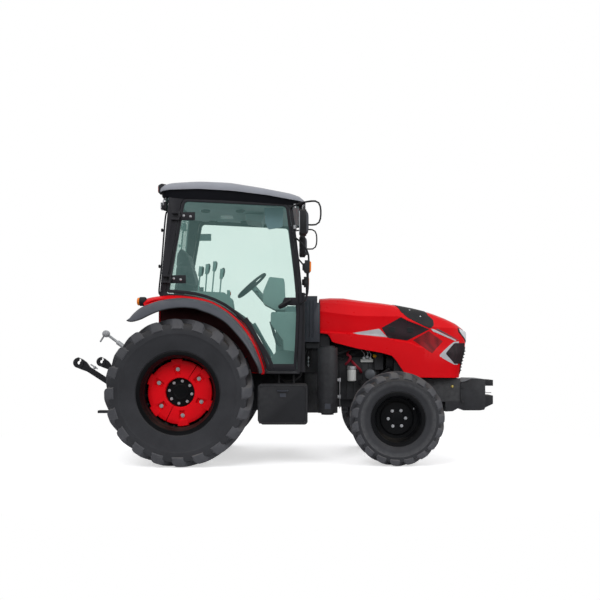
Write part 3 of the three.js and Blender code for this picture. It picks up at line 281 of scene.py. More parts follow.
LOOKS = {
    "tyre": (surface("tyre_rubber", (52, 53, 57), rough=0.62, vary=0.14, scale=5, bump=0.25,
                     grain=140, dust=0.3, wear=0.35), "tyre"),
    # the tread bars are the same rubber as the carcass, painted lighter: painted light for their upward,
    # sloped faces catching the light
    "lug": (surface("tyre_bar_rubber_painted_lighter", (74, 75, 80), rough=0.66, vary=0.12, scale=6, bump=0.25,
                    grain=140, dust=0.3, wear=0.5), "tyre"),
    "red": (surface("red_gloss_paint", (232, 13, 25), rough=0.3, vary=0.05, scale=3, bump=0.03,
                    dust=0.02, wear=0.0, shine=0.22), "red_paint"),
    "weight": (surface("red_cast_paint", (238, 11, 26), rough=0.42, vary=0.06, scale=9, bump=0.3,
                       grain=90, dust=0.02, wear=0.0, shine=0.15), "weight_paint"),
    "rim": (surface("black_rim_paint", (18, 19, 21), rough=0.36, vary=0.2, bump=0.08, dust=0.1,
                    shine=0.1),
            "rim_paint"),
    "cab": (surface("black_frame_paint", (38, 38, 43), rough=0.38, vary=0.15, bump=0.06, dust=0.1),
            "frame_paint"),
    "iron": (surface("black_cast_iron", (36, 37, 41), rough=0.55, vary=0.25, scale=10, bump=0.5,
                     grain=70, dust=0.2, wear=0.35), "chassis_iron"),
    "flare": (surface("grey_flare_plastic", (84, 87, 95), rough=0.45, vary=0.07, bump=0.25,
                      grain=320, dust=0.1, wear=0.1), "flare_plastic"),
    "roof": (surface("grey_roof_plastic", (158, 161, 170), rough=0.36, vary=0.05, bump=0.08,
                     dust=0.12, wear=0.05, coat=0.2), "roof_plastic"),
    "plastic": (surface("black_moulded_plastic", (33, 34, 38), rough=0.55, vary=0.15, bump=0.3,
                        grain=260, dust=0.15), "black_plastic"),
    "cowl": (surface("slate_cowl_plastic", (58, 61, 70), rough=0.42, vary=0.08, bump=0.2,
                     grain=260, dust=0.1), "cowl_plastic"),
    "glass": (glass_pane(), "glass"),
    "cloth": (woven(), "seat_cloth"),
    "steel": (surface("bright_steel", (206, 208, 212), rough=0.34, metal=0.7, vary=0.1, scale=20,
                      bump=0.15, grain=240, dust=0.05, wear=0.1), "steel"),
    # the last number of each lens is its painted glow
    "amber": (lens("amber_lens", (240, 128, 20), 0.15), "glass"),
    "ruby": (lens("red_lens", (190, 20, 16), 0.1), "glass"),
    "lamp": (lens("clear_lens", (226, 230, 234), 0.1), "glass"),
    "trim": (surface("silver_trim_paint", (196, 199, 204), rough=0.34, vary=0.06, bump=0.04,
                     dust=0.05, wear=0.1, coat=0.3), "steel"),
    "night": (surface("roof_band_black", (24, 25, 30), rough=0.4, vary=0.1, bump=0.05, dust=0.04,
                      wear=0.0, shine=0.25), "black_plastic"),
    "liner": (surface("grey_headliner_cloth", (196, 200, 206), rough=0.9, vary=0.06, bump=0.2,
                      grain=400, dust=0.0, wear=0.0, shine=0.1), "black_plastic"),
    "mirror": (surface("mirror_glass", (200, 205, 210), rough=0.04, metal=1.0, vary=0.02, bump=0.0,
                       dust=0.05, wear=0.0), "glass"),
    "visor": (surface("grey_blue_visor", (132, 148, 164), rough=0.5, vary=0.05, bump=0.1, dust=0.0,
                      wear=0.0, shine=0.2), "black_plastic"),
    "teal": (surface("teal_cab_lining", (142, 168, 166), rough=0.7, vary=0.08, bump=0.2, grain=300,
                     dust=0.1, wear=0.0, shine=0.15), "black_plastic"),
    "white": (surface("pale_filter_paint", (206, 208, 206), rough=0.4, vary=0.06, bump=0.08,
                      dust=0.1, wear=0.1), "steel"),
    "alloy": (surface("dull_cast_alloy", (92, 95, 100), rough=0.5, metal=0.5, vary=0.15, bump=0.3,
                      dust=0.15, wear=0.1), "steel"),
    "brass": (surface("yellow_zinc", (196, 176, 98), rough=0.35, metal=0.6, vary=0.1, bump=0.1,
                      dust=0.05, wear=0.0), "steel"),
    "mesh": (perforated("dark_perforated_sheet", (48, 34, 40), 0.010), "black_plastic"),
    "red_mesh": (perforated("red_perforated_sheet", (150, 26, 34), 0.0085), "red_paint"),
    # a darkened copy of the red paint for the wheel-house lining: painted shade under the fender's crown
    "shaded_red": (surface("red_paint_shaded_copy", (74, 12, 18), rough=0.6, vary=0.2, bump=0.15,
                       dust=0.05), "red_paint"),
    "hose": (surface("black_hose_rubber", (26, 26, 29), rough=0.7, vary=0.2, bump=0.3, dust=0.1),
             "black_plastic"),
    "wine": (surface("dark_red_hose", (128, 24, 40), rough=0.5, vary=0.15, bump=0.2, dust=0.05),
             "black_plastic"),
    "yellow": (surface("yellow_cap_plastic", (222, 168, 30), rough=0.45, vary=0.08, bump=0.15,
                       dust=0.05), "black_plastic"),
    "orange": (surface("orange_knob_plastic", (226, 96, 26), rough=0.4, vary=0.08, bump=0.1,
                       dust=0.0), "black_plastic"),
}


# ---------------------------------------------------------------- shapes


class Shape:
    """Points and faces gathered for one piece."""

    def __init__(self):
        self.points = []
        self.faces = []

    def add(self, points, faces):
        base = len(self.points)
        self.points += [Vector(p) for p in points]
        self.faces += [[base + i for i in face] for face in faces]
        return self

    def rings(self, rings, closed=False, caps=True):
        """A skin through rings of equally many points."""
        count = len(rings[0])
        pairs = len(rings) if closed else len(rings) - 1
        faces = []
        for i in range(pairs):
            a, b = i * count, (i + 1) % len(rings) * count
            for j in range(count):
                k = (j + 1) % count
                faces.append([a + j, a + k, b + k, b + j])
        if caps and not closed:
            faces += [list(range(count))[::-1], [(len(rings) - 1) * count + j for j in range(count)]]
        return self.add([p for ring in rings for p in ring], faces)

    def prism(self, outline, y0, y1):
        """An outline of (x, z) millimetres, between two places across."""
        return self.rings([[at(x, y, z) for x, z in outline] for y in sorted((y0, y1))])

    def slab(self, outline, x0, x1):
        """An outline of (y, z) millimetres, from x0 to x1."""
        return self.rings([[at(x, y, z) for y, z in outline] for x in (x0, x1)])

    def box(self, low, high):
        (x0, y0, z0), (x1, y1, z1) = low, high
        return self.prism([(x0, z0), (x1, z0), (x1, z1), (x0, z1)], y0, y1)

    def tube(self, path, radius, sides=14):
        """A round bar along a line of places, in the frame's metres; radius is one number of
        millimetres or one for each place."""
        count = len(path)
        radii = radius if isinstance(radius, list) else [radius] * count
        before = None
        rings = []
        for i, place in enumerate(path):
            way = (path[min(i + 1, count - 1)] - path[max(i - 1, 0)]).normalized()
            across = before if before else way.orthogonal()
            across = (across - way * across.dot(way)).normalized()
            before = across
            other = way.cross(across)
            rings.append([place + (across * math.cos(a) + other * math.sin(a)) * radii[i] * MM
                          for a in (2 * math.pi * k / sides for k in range(sides))])
        return self.rings(rings)

    def rod(self, a, b, radius, sides=20):
        return self.tube([a, b], radius, sides)

    def bolt(self, place, out, radius=9, height=8):
        """A hexagon head on a washer, whose face points out."""
        out = out.normalized()
        washer = place + out * 2.5 * MM
        self.rod(place - out * 3 * MM, washer, radius * 1.35, 16)
        return self.rod(washer, place + out * height * MM, radius, 6)

    def dome(self, place, out, radius, height, sides=16):
        """A round cap that bulges out of a face."""
        out = out.normalized()
        steps = [math.pi / 2 * k / 4 for k in range(4)]
        path = [place] + [place + out * height * MM * math.sin(a) for a in steps[1:]]
        return self.tube(path + [place + out * height * MM],
                         [radius] + [radius * math.cos(a) for a in steps[1:]] + [radius * 0.08], sides)


def smooth_line(points, steps=6, closed=False):
    """A Catmull-Rom line through points of any size."""
    points = [Vector(p) for p in points]
    count = len(points)
    spans = count if closed else count - 1
    line = []
    for i in range(spans):
        near = [points[(i + k) % count] if closed else points[min(max(i + k, 0), count - 1)]
                for k in (-1, 0, 1, 2)]
        a, b, c, d = near
        for k in range(steps):
            t = k / steps
            line.append(0.5 * (2 * b + (c - a) * t + (2 * a - 5 * b + 4 * c - d) * t * t
                               + (3 * b - a - 3 * c + d) * t ** 3))
    return line if closed else line + [points[-1]]


def paced(points, count, closed=False):
    """A line's points again, evenly spaced along it."""
    if closed:
        points = points + points[:1]
    lengths = [0.0]
    for a, b in zip(points, points[1:]):
        lengths.append(lengths[-1] + (b - a).length)
    out, i = [], 0
    for k in range(count):
        want = lengths[-1] * k / (count if closed else count - 1)
        while i < len(points) - 2 and lengths[i + 1] < want:
            i += 1
        t = (want - lengths[i]) / (lengths[i + 1] - lengths[i])
        out.append(points[i].lerp(points[i + 1], min(t, 1.0)))
    return out


def rounded(points, radius, steps=5):
    """A closed outline with its corners rounded; radius is one number or one for each corner."""
    points = [Vector(p) for p in points]
    count = len(points)
    line = []
    for i, corner in enumerate(points):
        size = radius[i] if isinstance(radius, list) else radius
        if size <= 0:
            line.append(corner)
            continue
        u = (points[i - 1] - corner).normalized()
        v = (points[(i + 1) % count] - corner).normalized()
        half = math.acos(max(-1.0, min(1.0, u.dot(v)))) / 2
        centre = corner + (u + v).normalized() * size / math.sin(half)
        start, end = (corner + w * size / math.tan(half) - centre for w in (u, v))
        for k in range(steps + 1):
            ray = start.lerp(end, k / steps)
            line.append(centre + ray.normalized() * size)
    return [tuple(p) for p in line]


def finish_mesh(piece, look, angle=35, bevel=0.0, segments=2):
    """Gives a piece its material, its smooth shading and its softened edges."""
    mesh = piece.data
    mesh.materials.clear()
    mesh.materials.append(LOOKS[look][0])
    mesh.shade_smooth()
    mesh.set_sharp_from_angle(angle=math.radians(angle))
    if bevel:
        soften(piece, bevel, angle, segments)


def soften(piece, width, angle=35, segments=2):
    """Rounds the edges that are sharper than an angle."""
    modifier = piece.modifiers.new("soft_edges", "BEVEL")
    modifier.width = width * MM
    modifier.segments = segments
    modifier.limit_method = "ANGLE"
    modifier.angle_limit = math.radians(angle)
    modifier.harden_normals = True


def make(name, shape, look, body="root", bevel=0.0, angle=35, stands_for=(), segments=2):
    """One piece from a shape, riding on its body."""
    mesh = bpy.data.meshes.new(name)
    mesh.from_pydata([tuple(p) for p in shape.points], [], shape.faces)
    work = bmesh.new()
    work.from_mesh(mesh)
    bmesh.ops.remove_doubles(work, verts=work.verts, dist=1e-6)
    bmesh.ops.dissolve_degenerate(work, edges=work.edges, dist=1e-6)
    bmesh.ops.recalc_face_normals(work, faces=work.faces)
    work.to_mesh(mesh)
    work.free()
    piece = bpy.data.objects.new(name, mesh)
    bpy.context.scene.collection.objects.link(piece)
    finish_mesh(piece, look, angle, bevel, segments)
    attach(piece, body)
    if stands_for:
        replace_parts(piece, *stands_for)
    return piece


# ---------------------------------------------------------------- wheels


def wheel_frame(node, side):
    """A function from (radius, outward offset, angle) in millimetres and degrees to a place on
    that wheel."""
    centre = middle(node)

    def place(radius, offset, angle):
        a = math.radians(angle)
        return centre + Vector((radius * math.cos(a), side * offset, radius * math.sin(a))) * MM
    return place


def lathe(shape, place, profile, segments=96, closed=True):
    """Turns a profile of (radius, offset) about the wheel's axis."""
    rings = [[place(r, y, 360 * k / segments) for r, y in profile] for k in range(segments)]
    count = len(profile)
    faces = []
    for i in range(segments):
        a, b = i * count, (i + 1) % segments * count
        for j in range(count if closed else count - 1):
            k = (j + 1) % count
            if profile[j][0] or profile[k][0]:
                faces.append([a + j, a + k, b + k, b + j])
    return shape.add([p for ring in rings for p in ring], faces)


def lug(shape, place, angle, hand, size):
    """One tread bar: from the middle of the tread it runs back and out, and ends as a flat block
    on the shoulder. hand is 1 on the outer half of the tyre and -1 on the inner half."""
    radius, half, sweep, thick = size["radius"], size["half"], size["sweep"], size["thick"]
    low = radius - size["height"]
    # along the bar: offset, depth of its top under the tread, depth of its foot, turn, width
    stations = [(-0.03, 0, 8, 1.0, 0.86), (0.2, 0, 8, 0.74, 0.86), (0.44, 1, 10, 0.48, 1.0),
                (0.64, 3, 16, 0.26, 1.26), (0.78, 8, 34, 0.1, 1.8), (0.83, 0.026, 0.085, 0.03, 2.2),
                (1.0, 0.135, 0.16, 0.0, 2.5)]
    rings = []
    for along, top, foot, turn, wide in stations:
        y = hand * along * half
        spin = angle - sweep * turn
        width = math.degrees(thick * wide / radius)
        crown = radius - (top if top >= 1 or not top else top * radius)
        base = min(low - 6, radius - (foot if foot >= 1 else foot * radius))
        inner = y * 0.9 if along > 0.85 else y
        rings.append([place(base, inner, spin - width * 0.72), place(crown, y, spin - width * 0.42),
                      place(crown, y, spin + width * 0.42), place(base, inner, spin + width * 0.72)])
    shape.rings(rings)


def tyre(kind, side_name):
    """The carcass of one tyre and its tread bars."""
    side = SIDES[side_name]
    node = f"{kind}_tyre_{side_name}"
    place = wheel_frame(node, side)
    low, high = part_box(node)
    size = TYRES[kind] | {"radius": (high[2] - low[2]) / 2 / MM, "half": (high[1] - low[1]) / 2 / MM}
    radius, half = size["radius"], size["half"]
    seat, flange, bead = size["seat"], size["flange"], size["bead"]
    tread = radius - size["height"]
    outer = [(seat, bead), (flange + 2, bead), (flange + 7, bead + 1), (flange + 9, bead + 6),
             (flange + 22, bead + 9), (flange + (tread - flange) * 0.28, half * 0.965),
             (flange + (tread - flange) * 0.5, half * 0.995), (flange + (tread - flange) * 0.7, half * 0.975),
             (tread - 34, half * 0.92), (tread - 14, half * 0.84), (tread - 6, half * 0.66),
             (tread - 1, half * 0.34), (tread, 0)]
    outer[7:7] = [(flange + (tread - flange) * 0.60, half * 0.992), (flange + (tread - flange) * 0.61, half)]
    back = [(r, -y) for r, y in outer[-2::-1]]
    inside = [(seat, -bead + 20), (tread - 30, -half * 0.7), (tread - 26, 0), (tread - 30, half * 0.7),
              (seat, bead - 20)]
    shape = lathe(Shape(), place, outer + back + inside, 120)
    step = 360 / size["lugs"]
    bars = Shape()
    for k in range(size["lugs"]):
        lug(bars, place, k * step, 1, size)
        lug(bars, place, (k + 0.5) * step, -1, size)
    body = f"{kind}_wheel_{side_name}"
    make(f"{kind}_tyre_carcass_{side_name}", shape, "tyre", body, bevel=2.0, angle=38,
         stands_for=(node,))
    # the bars take the lighter, painted-light copy of the tyre rubber
    make(f"{kind}_tyre_bars_{side_name}", bars, "lug", body, bevel=3.0, angle=38)


TYRES = {
    "rear": {"seat": 355.3, "flange": 380, "bead": 164.7, "height": 40, "lugs": 20, "sweep": -17,
             "thick": 46},
    "front": {"seat": 228.3, "flange": 250, "bead": 113.7, "height": 30, "lugs": 19, "sweep": -18,
              "thick": 33},
}


def rear_rim(side_name):
    """Rim, disc, bolts and clamps of one rear wheel."""
    side = SIDES[side_name]
    node = f"rear_rim_{side_name}"
    place = wheel_frame(f"rear_tyre_{side_name}", side)
    body = f"rear_wheel_{side_name}"
    profile = [(0, -135), (85, -135), (85, -44), (100, -40), (285, -40), (310, -50), (319, -62),
               (319, -112), (330, -158), (343, -172), (374, -172), (380, -169), (380, -165),
               (356, -164), (354, -150), (327, -118), (325, -100), (325, 100), (327, 118),
               (354, 150), (356, 164), (380, 165), (380, 169), (374, 172), (346, 171), (341, 164),
               (337, 146), (328, 128), (319, 112), (318, -6), (308, -22), (290, -28), (133, -28),
               (130, -2), (76, -2), (72, 3), (58, 3), (54, 0), (0, 0)]
    make(f"rear_rim_disc_{side_name}", lathe(Shape(), place, profile, 96, closed=False), "rim", body,
         bevel=1.2, angle=30, stands_for=(node,))
    out = Vector((0, side, 0))
    bolts = Shape()
    for k in range(8):
        bolts.bolt(place(105, -1.5, 36 + 45 * k), out, 10.5, 15)
    for k in range(6):
        bolts.bolt(place(214, 22, 96 + 60 * k), out, 14.5, 17)
    make(f"rear_wheel_bolts_{side_name}", bolts, "steel", body, bevel=0.8)
    clamps = Shape()
    for k in range(6):
        turn = 66 + 60 * k
        ring = [[place(r, y, turn + w) for w, y in ((-3, -30), (3, -30), (3, rise), (-3, rise))]
                for r, rise in ((305, -6), (318, 22), (321, 22))]
        clamps.rings(ring)
        clamps.bolt(place(318.5, 40, turn + 14), (place(0, 40, 0) - place(318, 40, turn + 14)), 6, 10)
    make(f"rear_rim_clamps_{side_name}", clamps, "iron", body, bevel=3)


def wheel_weight(side_name):
    """Two half rings of castings, with six bolt pockets and lugs round the outside."""
    side = SIDES[side_name]
    node = f"rear_weight_{side_name}"
    place = wheel_frame(f"rear_tyre_{side_name}", side)
    body = f"rear_wheel_{side_name}"
    inner, outer, back, face = 135, 314, -27.7, 45.3
    steps = 144
    split = (58, 244)
    pocket_depth, lug_rise = 24, 17
    shape = Shape()

    def near(angle, target, reach):
        return abs((angle - target + 180) % 360 - 180) <= reach

    bolts = [96 + 60 * k for k in range(6)]

    def section(angle):
        on_lug = any(near(angle, b, 9.5) for b in bolts)
        rim = outer - (1 if on_lug else 1 + lug_rise)
        crown = face - (0 if on_lug else 5)
        low = face - pocket_depth if any(near(angle, b, 8.0) for b in bolts) else face
        return [(inner, face - 6), (inner + 7, face), (166, face), (182, low), (240, low),
                (256, face), (272, face), (284, crown), (rim - 6, crown), (rim, crown - 6),
                (rim, back), (inner, back)]

    for start, end in ((split[0], split[1]), (split[1], split[0] + 360)):
        gap = 0.8
        count = round((end - start) / 360 * steps)
        marks = {start + gap + (end - start - 2 * gap) * k / count for k in range(count + 1)}
        for b in bolts:
            for edge in (11.5, 7.9, 9.55, 9.4, 8.3):
                for s in (-1, 1):
                    for lap in (0, 360):
                        mark = b % 360 + s * edge + lap
                        if start + gap < mark < end - gap:
                            marks.add(mark)
        shape.rings([[place(r, y, a) for r, y in section(a)] for a in sorted(marks)])
    make(f"rear_weight_halves_{side_name}", shape, "weight", body, bevel=2.0, angle=40,
         stands_for=(node,))


def front_rim(side_name):
    """Dished rim, bolts and valve of one front wheel."""
    side = SIDES[side_name]
    node = f"front_rim_{side_name}"
    place = wheel_frame(f"front_tyre_{side_name}", side)
    body = f"front_wheel_{side_name}"
    profile = [(0, -54.5), (95, -54.5), (95, -4), (104, 0), (186, 0), (197, -8), (203, -90),
               (214, -119), (244, -121), (250, -118), (250, -114), (229, -113.7), (227, -98),
               (206, -68), (205, -62), (205, 50), (207, 68), (227, 98), (229, 113.7), (250, 114),
               (250, 118), (244, 121), (216, 120), (209, 104), (203, 80), (197, 60), (196, 26),
               (186, 14), (160, 13), (155, 16), (151, 23), (145, 26), (60, 26), (57, 29), (52, 31),
               (0, 31)]
    shape = lathe(Shape(), place, profile, 96, closed=False)
    make(f"front_rim_dish_{side_name}", shape, "rim", body, bevel=1.0, angle=30, stands_for=(node,))
    out = Vector((0, side, 0))
    bolts = Shape()
    for k in range(6):
        bolts.bolt(place(81, 26, 62 + 60 * k), out, 11, 15)
    make(f"front_wheel_bolts_{side_name}", bolts, "steel", body, bevel=0.8)
    valve = Shape().tube([place(186, 30, 32), place(178, 52, 32), place(174, 74, 31)], [6, 5, 4], 10)
    make(f"front_tyre_valve_{side_name}", valve, "steel", body)


for each in SIDES:
    for axle in TYRES:
        tyre(axle, each)
    rear_rim(each)
    wheel_weight(each)
    front_rim(each)


# ---------------------------------------------------------------- panels that follow a skin


class Skin:
    """The outside of a CAD node or of a shape, which thin panels and trims are laid on."""

    def __init__(self, source):
        if isinstance(source, Shape):
            points, faces = source.points, source.faces
        else:
            mesh = NODES[source].data
            points = [v.co.copy() for v in mesh.vertices]
            faces = [tuple(p.vertices) for p in mesh.polygons]
        self.tree = BVHTree.FromPolygons(points, faces)

    def hit(self, start, way):
        place, normal, _, _ = self.tree.ray_cast(start, way)
        if place is None:
            return None, None
        if normal.dot(way) > 0:
            normal = -normal
        return place, normal

    def panel(self, rays, lift, sink=3.0):
        """A thin closed plate over a grid of rays; lift is its height above the skin in
        millimetres, one number or a function of the place."""
        rows = [[self.hit(*ray) for ray in row] for row in rays]
        shape = Shape()
        outer, inner = [], []
        for row in rows:
            for place, normal in row:
                if place is None:
                    return shape
                rise = lift(place) if callable(lift) else lift
                outer.append(place + normal * rise * MM)
                inner.append(place - normal * sink * MM)
        across, down = len(rows[0]), len(rows)
        faces = []
        for i in range(down - 1):
            for j in range(across - 1):
                k = i * across + j
                quad = [k, k + 1, k + across + 1, k + across]
                faces.append(quad)
                faces.append([len(outer) + n for n in reversed(quad)])
        edge = ([j for j in range(across)] + [i * across + across - 1 for i in range(1, down)]
                + [(down - 1) * across + j for j in range(across - 2, -1, -1)]
                + [i * across for i in range(down - 2, 0, -1)])
        for n, a in enumerate(edge):
            b = edge[(n + 1) % len(edge)]
            faces.append([b, a, a + len(outer), b + len(outer)])
        return shape.add(outer + inner, faces)


def line_at(points, x):
    """The height of a line of (x, z) points at one x."""
    for (x0, z0), (x1, z1) in zip(points, points[1:]):
        if x <= x1:
            return z0 + (z1 - z0) * max(0.0, (x - x0) / (x1 - x0 or 1))
    return points[-1][1]


def spread(low, high, count):
    """Evenly spaced numbers from low to high."""
    return [low + (high - low) * k / (count - 1) for k in range(count)]


def side_rays(top, bottom, side, across=28, down=8):
    """Rays straight in from one side, between a top and a bottom line of (x, z) points."""
    x0, x1 = max(top[0][0], bottom[0][0]), min(top[-1][0], bottom[-1][0])
    rows = []
    for t in spread(0, 1, down):
        row = []
        for x in spread(x0, x1, across):
            z = line_at(bottom, x) * (1 - t) + line_at(top, x) * t
            row.append((at(x, side * 1500, z), Vector((0, -side, 0))))
        rows.append(row)
    return rows


def over_rays(bounds, axis_z, across=20, down=24):
    """Rays in towards a lengthwise axis; bounds are (angle, rear x, front x), from the right side
    (0 degrees) over the top."""
    angles = [b[0] for b in bounds]
    rows = []
    for angle in spread(angles[0], angles[-1], down):
        rear = line_at([(b[0], b[1]) for b in bounds], angle)
        front = line_at([(b[0], b[2]) for b in bounds], angle)
        a = math.radians(angle)
        out = Vector((0, -math.cos(a), math.sin(a)))
        rows.append([(at(x, 0, axis_z) + out * 1.5, -out) for x in spread(rear, front, across)])
    return rows


def round_rays(bounds, axis_x, across=24, down=8):
    """Level rays in towards an upright axis; bounds are (angle, low z, high z), where 0 degrees is
    straight ahead and 90 is to the right."""
    rows = []
    for t in spread(0, 1, down):
        row = []
        for angle in spread(bounds[0][0], bounds[-1][0], across):
            low = line_at([(b[0], b[1]) for b in bounds], angle)
            high = line_at([(b[0], b[2]) for b in bounds], angle)
            a = math.radians(angle)
            out = Vector((math.cos(a), -math.sin(a), 0))
            row.append((at(axis_x, 0, low * (1 - t) + high * t) + out * 1.6, -out))
        rows.append(row)
    return rows


def flipped(bounds):
    """Angle bounds on the other side of the tractor's middle."""
    return [(180 - b[0], *b[1:]) for b in bounds][::-1]


# ---------------------------------------------------------------- hood

HOOD_REAR = 1304
HOOD_FRONT = 2776
HOOD_EDGE = [(1304, 1238), (1376, 1228), (1398, 1205), (1416, 1158), (1440, 1146), (1665, 1088),
             (1914, 1043), (2006, 1016), (2050, 970), (2090, 905), (2124, 860), (2170, 826),
             (2287, 803), (2700, 798)]
HOOD_TOP = [(1304, 1590), (1414, 1598), (1540, 1596), (1721, 1570), (1926, 1546), (2060, 1525),
            (2233, 1494), (2397, 1455), (2541, 1413), (2612, 1390), (2694, 1346), (2745, 1316),
            (2780, 1270)]
UPPER_CREASE = [(1304, 1452), (1539, 1421), (1664, 1407), (1886, 1402), (2062, 1402), (2100, 1396),
                (2160, 1366), (2290, 1318), (2400, 1297), (2645, 1284), (2780, 1240)]
LOWER_CREASE = [(1304, 1252), (1621, 1233), (1958, 1193), (2081, 1159), (2199, 1142), (2253, 1107),
                (2420, 1060), (2780, 1040)]
NOSE = [(700, 2700), (795, 2702), (914, 2716), (1105, 2764), (1200, 2776), (1250, 2776), (1300, 2752),
        (1350, 2700), (1400, 2620)]
HOOD_HALF = [(1304, 327), (2296, 322), (2450, 310), (2600, 288), (2780, 262)]


def hood_level(edge, half, blunt, nose_back=0.0, count=70):
    """One level line from the rear right corner to the middle of the nose. edge gives its height
    at an x, half the share of the hood's width, blunt the squareness of the nose."""
    tip = HOOD_FRONT
    for _ in range(6):
        tip = line_at(NOSE, edge(tip)) - nose_back
    straight = tip - 300
    line = []
    for k in range(count):
        t = k / (count - 1)
        if t < 0.68:
            x = HOOD_REAR + (straight - HOOD_REAR) * t / 0.68
            y = line_at(HOOD_HALF, x) * half
        else:
            a = (t - 0.68) / 0.32 * math.pi / 2
            x = straight + (tip - straight) * math.sin(a) ** (2 / blunt)
            y = line_at(HOOD_HALF, min(x, 2480)) * half * max(math.cos(a), 0.0) ** (2 / blunt)
        line.append((x, -y, edge(x)))
    return line


def hood_surface():
    """Rows of points over the hood, from its lower edge up to its ridge."""
    edge = lambda x: line_at(HOOD_EDGE, x)
    top = lambda x: line_at(HOOD_TOP, x)
    upper = lambda x: min(line_at(UPPER_CREASE, x), top(x) - 14)
    lower = lambda x: line_at(LOWER_CREASE, x)
    ledge = lambda x: max(0.0, min(1.0, (2330 - x) / 130))
    between = lambda a, b, t: (lambda x: a(x) + (b(x) - a(x)) * t)
    levels = [
        hood_level(edge, 1.0, 4.2),
        hood_level(between(edge, lower, 0.5), 1.008, 4.2),
        hood_level(lambda x: lower(x) - 7 * ledge(x), 1.01, 4.2),
        hood_level(lambda x: lower(x) + 7 + 5 * (1 - ledge(x)), 1.0, 4.2),
        hood_level(between(lower, upper, 0.3), 0.985, 4.0),
        hood_level(between(lower, upper, 0.65), 0.983, 3.8),
        hood_level(upper, 0.99, 3.4),
        hood_level(between(upper, top, 0.32), 0.925, 3.0, 14),
        hood_level(between(upper, top, 0.6), 0.845, 2.8, 34),
        hood_level(between(upper, top, 0.82), 0.73, 2.6, 62),
        hood_level(between(upper, top, 0.94), 0.57, 2.4, 100),
        hood_level(between(upper, top, 0.985), 0.34, 2.2, 150),
        hood_level(top, 0.0, 2.2, 190),
    ]
    # under the lower crease's end the ledge fades, so its two lines are drawn together there
    for i, (x, y, z) in enumerate(levels[3]):
        fade = ledge(x)
        below = levels[2][i]
        inner = y * (1 - 0.055 * fade)
        levels[3][i] = (x, inner, z if fade else below[2] + 12)
    for row in (4, 5):
        levels[row] = [(x, y * (1 - 0.02 * ledge(x)), z) for x, y, z in levels[row]]
    rows = [[at(*p) for p in line] + [at(x, -y, z) for x, y, z in line[-2::-1]] for line in levels]
    return rows


HOOD_ROWS = hood_surface()


def shell_of(rows, thick):
    """A closed sheet: the grid and a copy of it set in by a thickness."""
    across, down = len(rows[0]), len(rows)
    work = bmesh.new()
    grid = [[work.verts.new(p) for p in row] for row in rows]
    for i in range(down - 1):
        for j in range(across - 1):
            quad = [grid[i][j], grid[i][j + 1], grid[i + 1][j + 1], grid[i + 1][j]]
            try:
                work.faces.new(quad)
            except ValueError:
                pass
    bmesh.ops.remove_doubles(work, verts=work.verts, dist=2e-5)
    bmesh.ops.dissolve_degenerate(work, edges=work.edges, dist=1e-5)
    bmesh.ops.recalc_face_normals(work, faces=work.faces)
    ahead = max(work.faces, key=lambda f: f.calc_center_median().z)
    if ahead.normal.z < 0:
        bmesh.ops.reverse_faces(work, faces=work.faces)
    work.normal_update()
    outer = list(work.verts)
    inner = {v: work.verts.new(v.co - v.normal * thick * MM) for v in outer}
    faces = list(work.faces)
    borders = [e for e in work.edges if e.is_boundary]
    for face in faces:
        work.faces.new([inner[v] for v in reversed(face.verts)])
    for e in borders:
        a, b = e.verts
        loop = e.link_loops[0]
        if loop.vert is not a:
            a, b = b, a
        work.faces.new([b, a, inner[a], inner[b]])
    mesh_points = []
    order = {}
    for v in work.verts:
        order[v] = len(mesh_points)
        mesh_points.append(v.co.copy())
    mesh_faces = [[order[v] for v in f.verts] for f in work.faces]
    work.free()
    return Shape().add(mesh_points, mesh_faces)


HOOD_SHELL = shell_of(HOOD_ROWS, 7)
make("hood_skin", HOOD_SHELL, "red", "hood", bevel=1.6, angle=16, stands_for=("hood", "grille"))
HOOD_SKIN = Skin(HOOD_SHELL)
NOSE_AXIS = 2380
SHOULDER_AXIS = 1150


def hood_side(side_name):
    """Windows, trims and mesh on one flank of the hood."""
    side = SIDES[side_name]
    put = HOOD_SKIN.panel
    window_top = [(1908, 1290), (2096, 1394), (2160, 1360), (2290, 1310), (2372, 1276)]
    window_low = [(1908, 1288), (1969, 1190), (2160, 1166), (2372, 1274)]
    make(f"hood_mesh_window_{side_name}", put(side_rays(window_top, window_low, side, 40, 9), 2.0),
         "mesh", "hood", bevel=0.8)
    make(f"hood_silver_wedge_{side_name}",
         put(side_rays([(1627, 1240), (1884, 1281), (1963, 1200)],
                       [(1627, 1238), (1666, 1226), (1963, 1196)], side, 30, 5), 4.0),
         "trim", "hood", bevel=0.8)
    make(f"hood_red_mesh_{side_name}",
         put(side_rays([(2216, 1170), (2369, 1258), (2508, 1158)],
                       [(2216, 1168), (2400, 1040), (2508, 1156)], side, 26, 8), 1.6),
         "red_mesh", "hood", bevel=0.6)
    make(f"hood_pale_strip_{side_name}",
         put(side_rays([(2392, 1280), (2420, 1277), (2640, 1172)],
                       [(2392, 1278), (2410, 1256), (2640, 1158)], side, 26, 3), 3.0),
         "trim", "hood", bevel=0.8)
    make(f"hood_dark_strip_{side_name}",
         put(side_rays([(2440, 1282), (2470, 1276), (2668, 1168)],
                       [(2440, 1280), (2455, 1266), (2668, 1164)], side, 24, 3), 2.0),
         "flare", "hood", bevel=0.6)
    vents = Shape()
    for x, z in ((2008, 1272), (2190, 1266)):
        row = side_rays([(x - 30, z + 30), (x + 30, z + 22)], [(x - 30, z - 20), (x + 30, z - 28)],
                        side, 5, 5)
        part = put(row, 6.0)
        vents.add(part.points, part.faces)
    make(f"hood_window_vents_{side_name}", vents, "plastic", "hood", bevel=3.0)


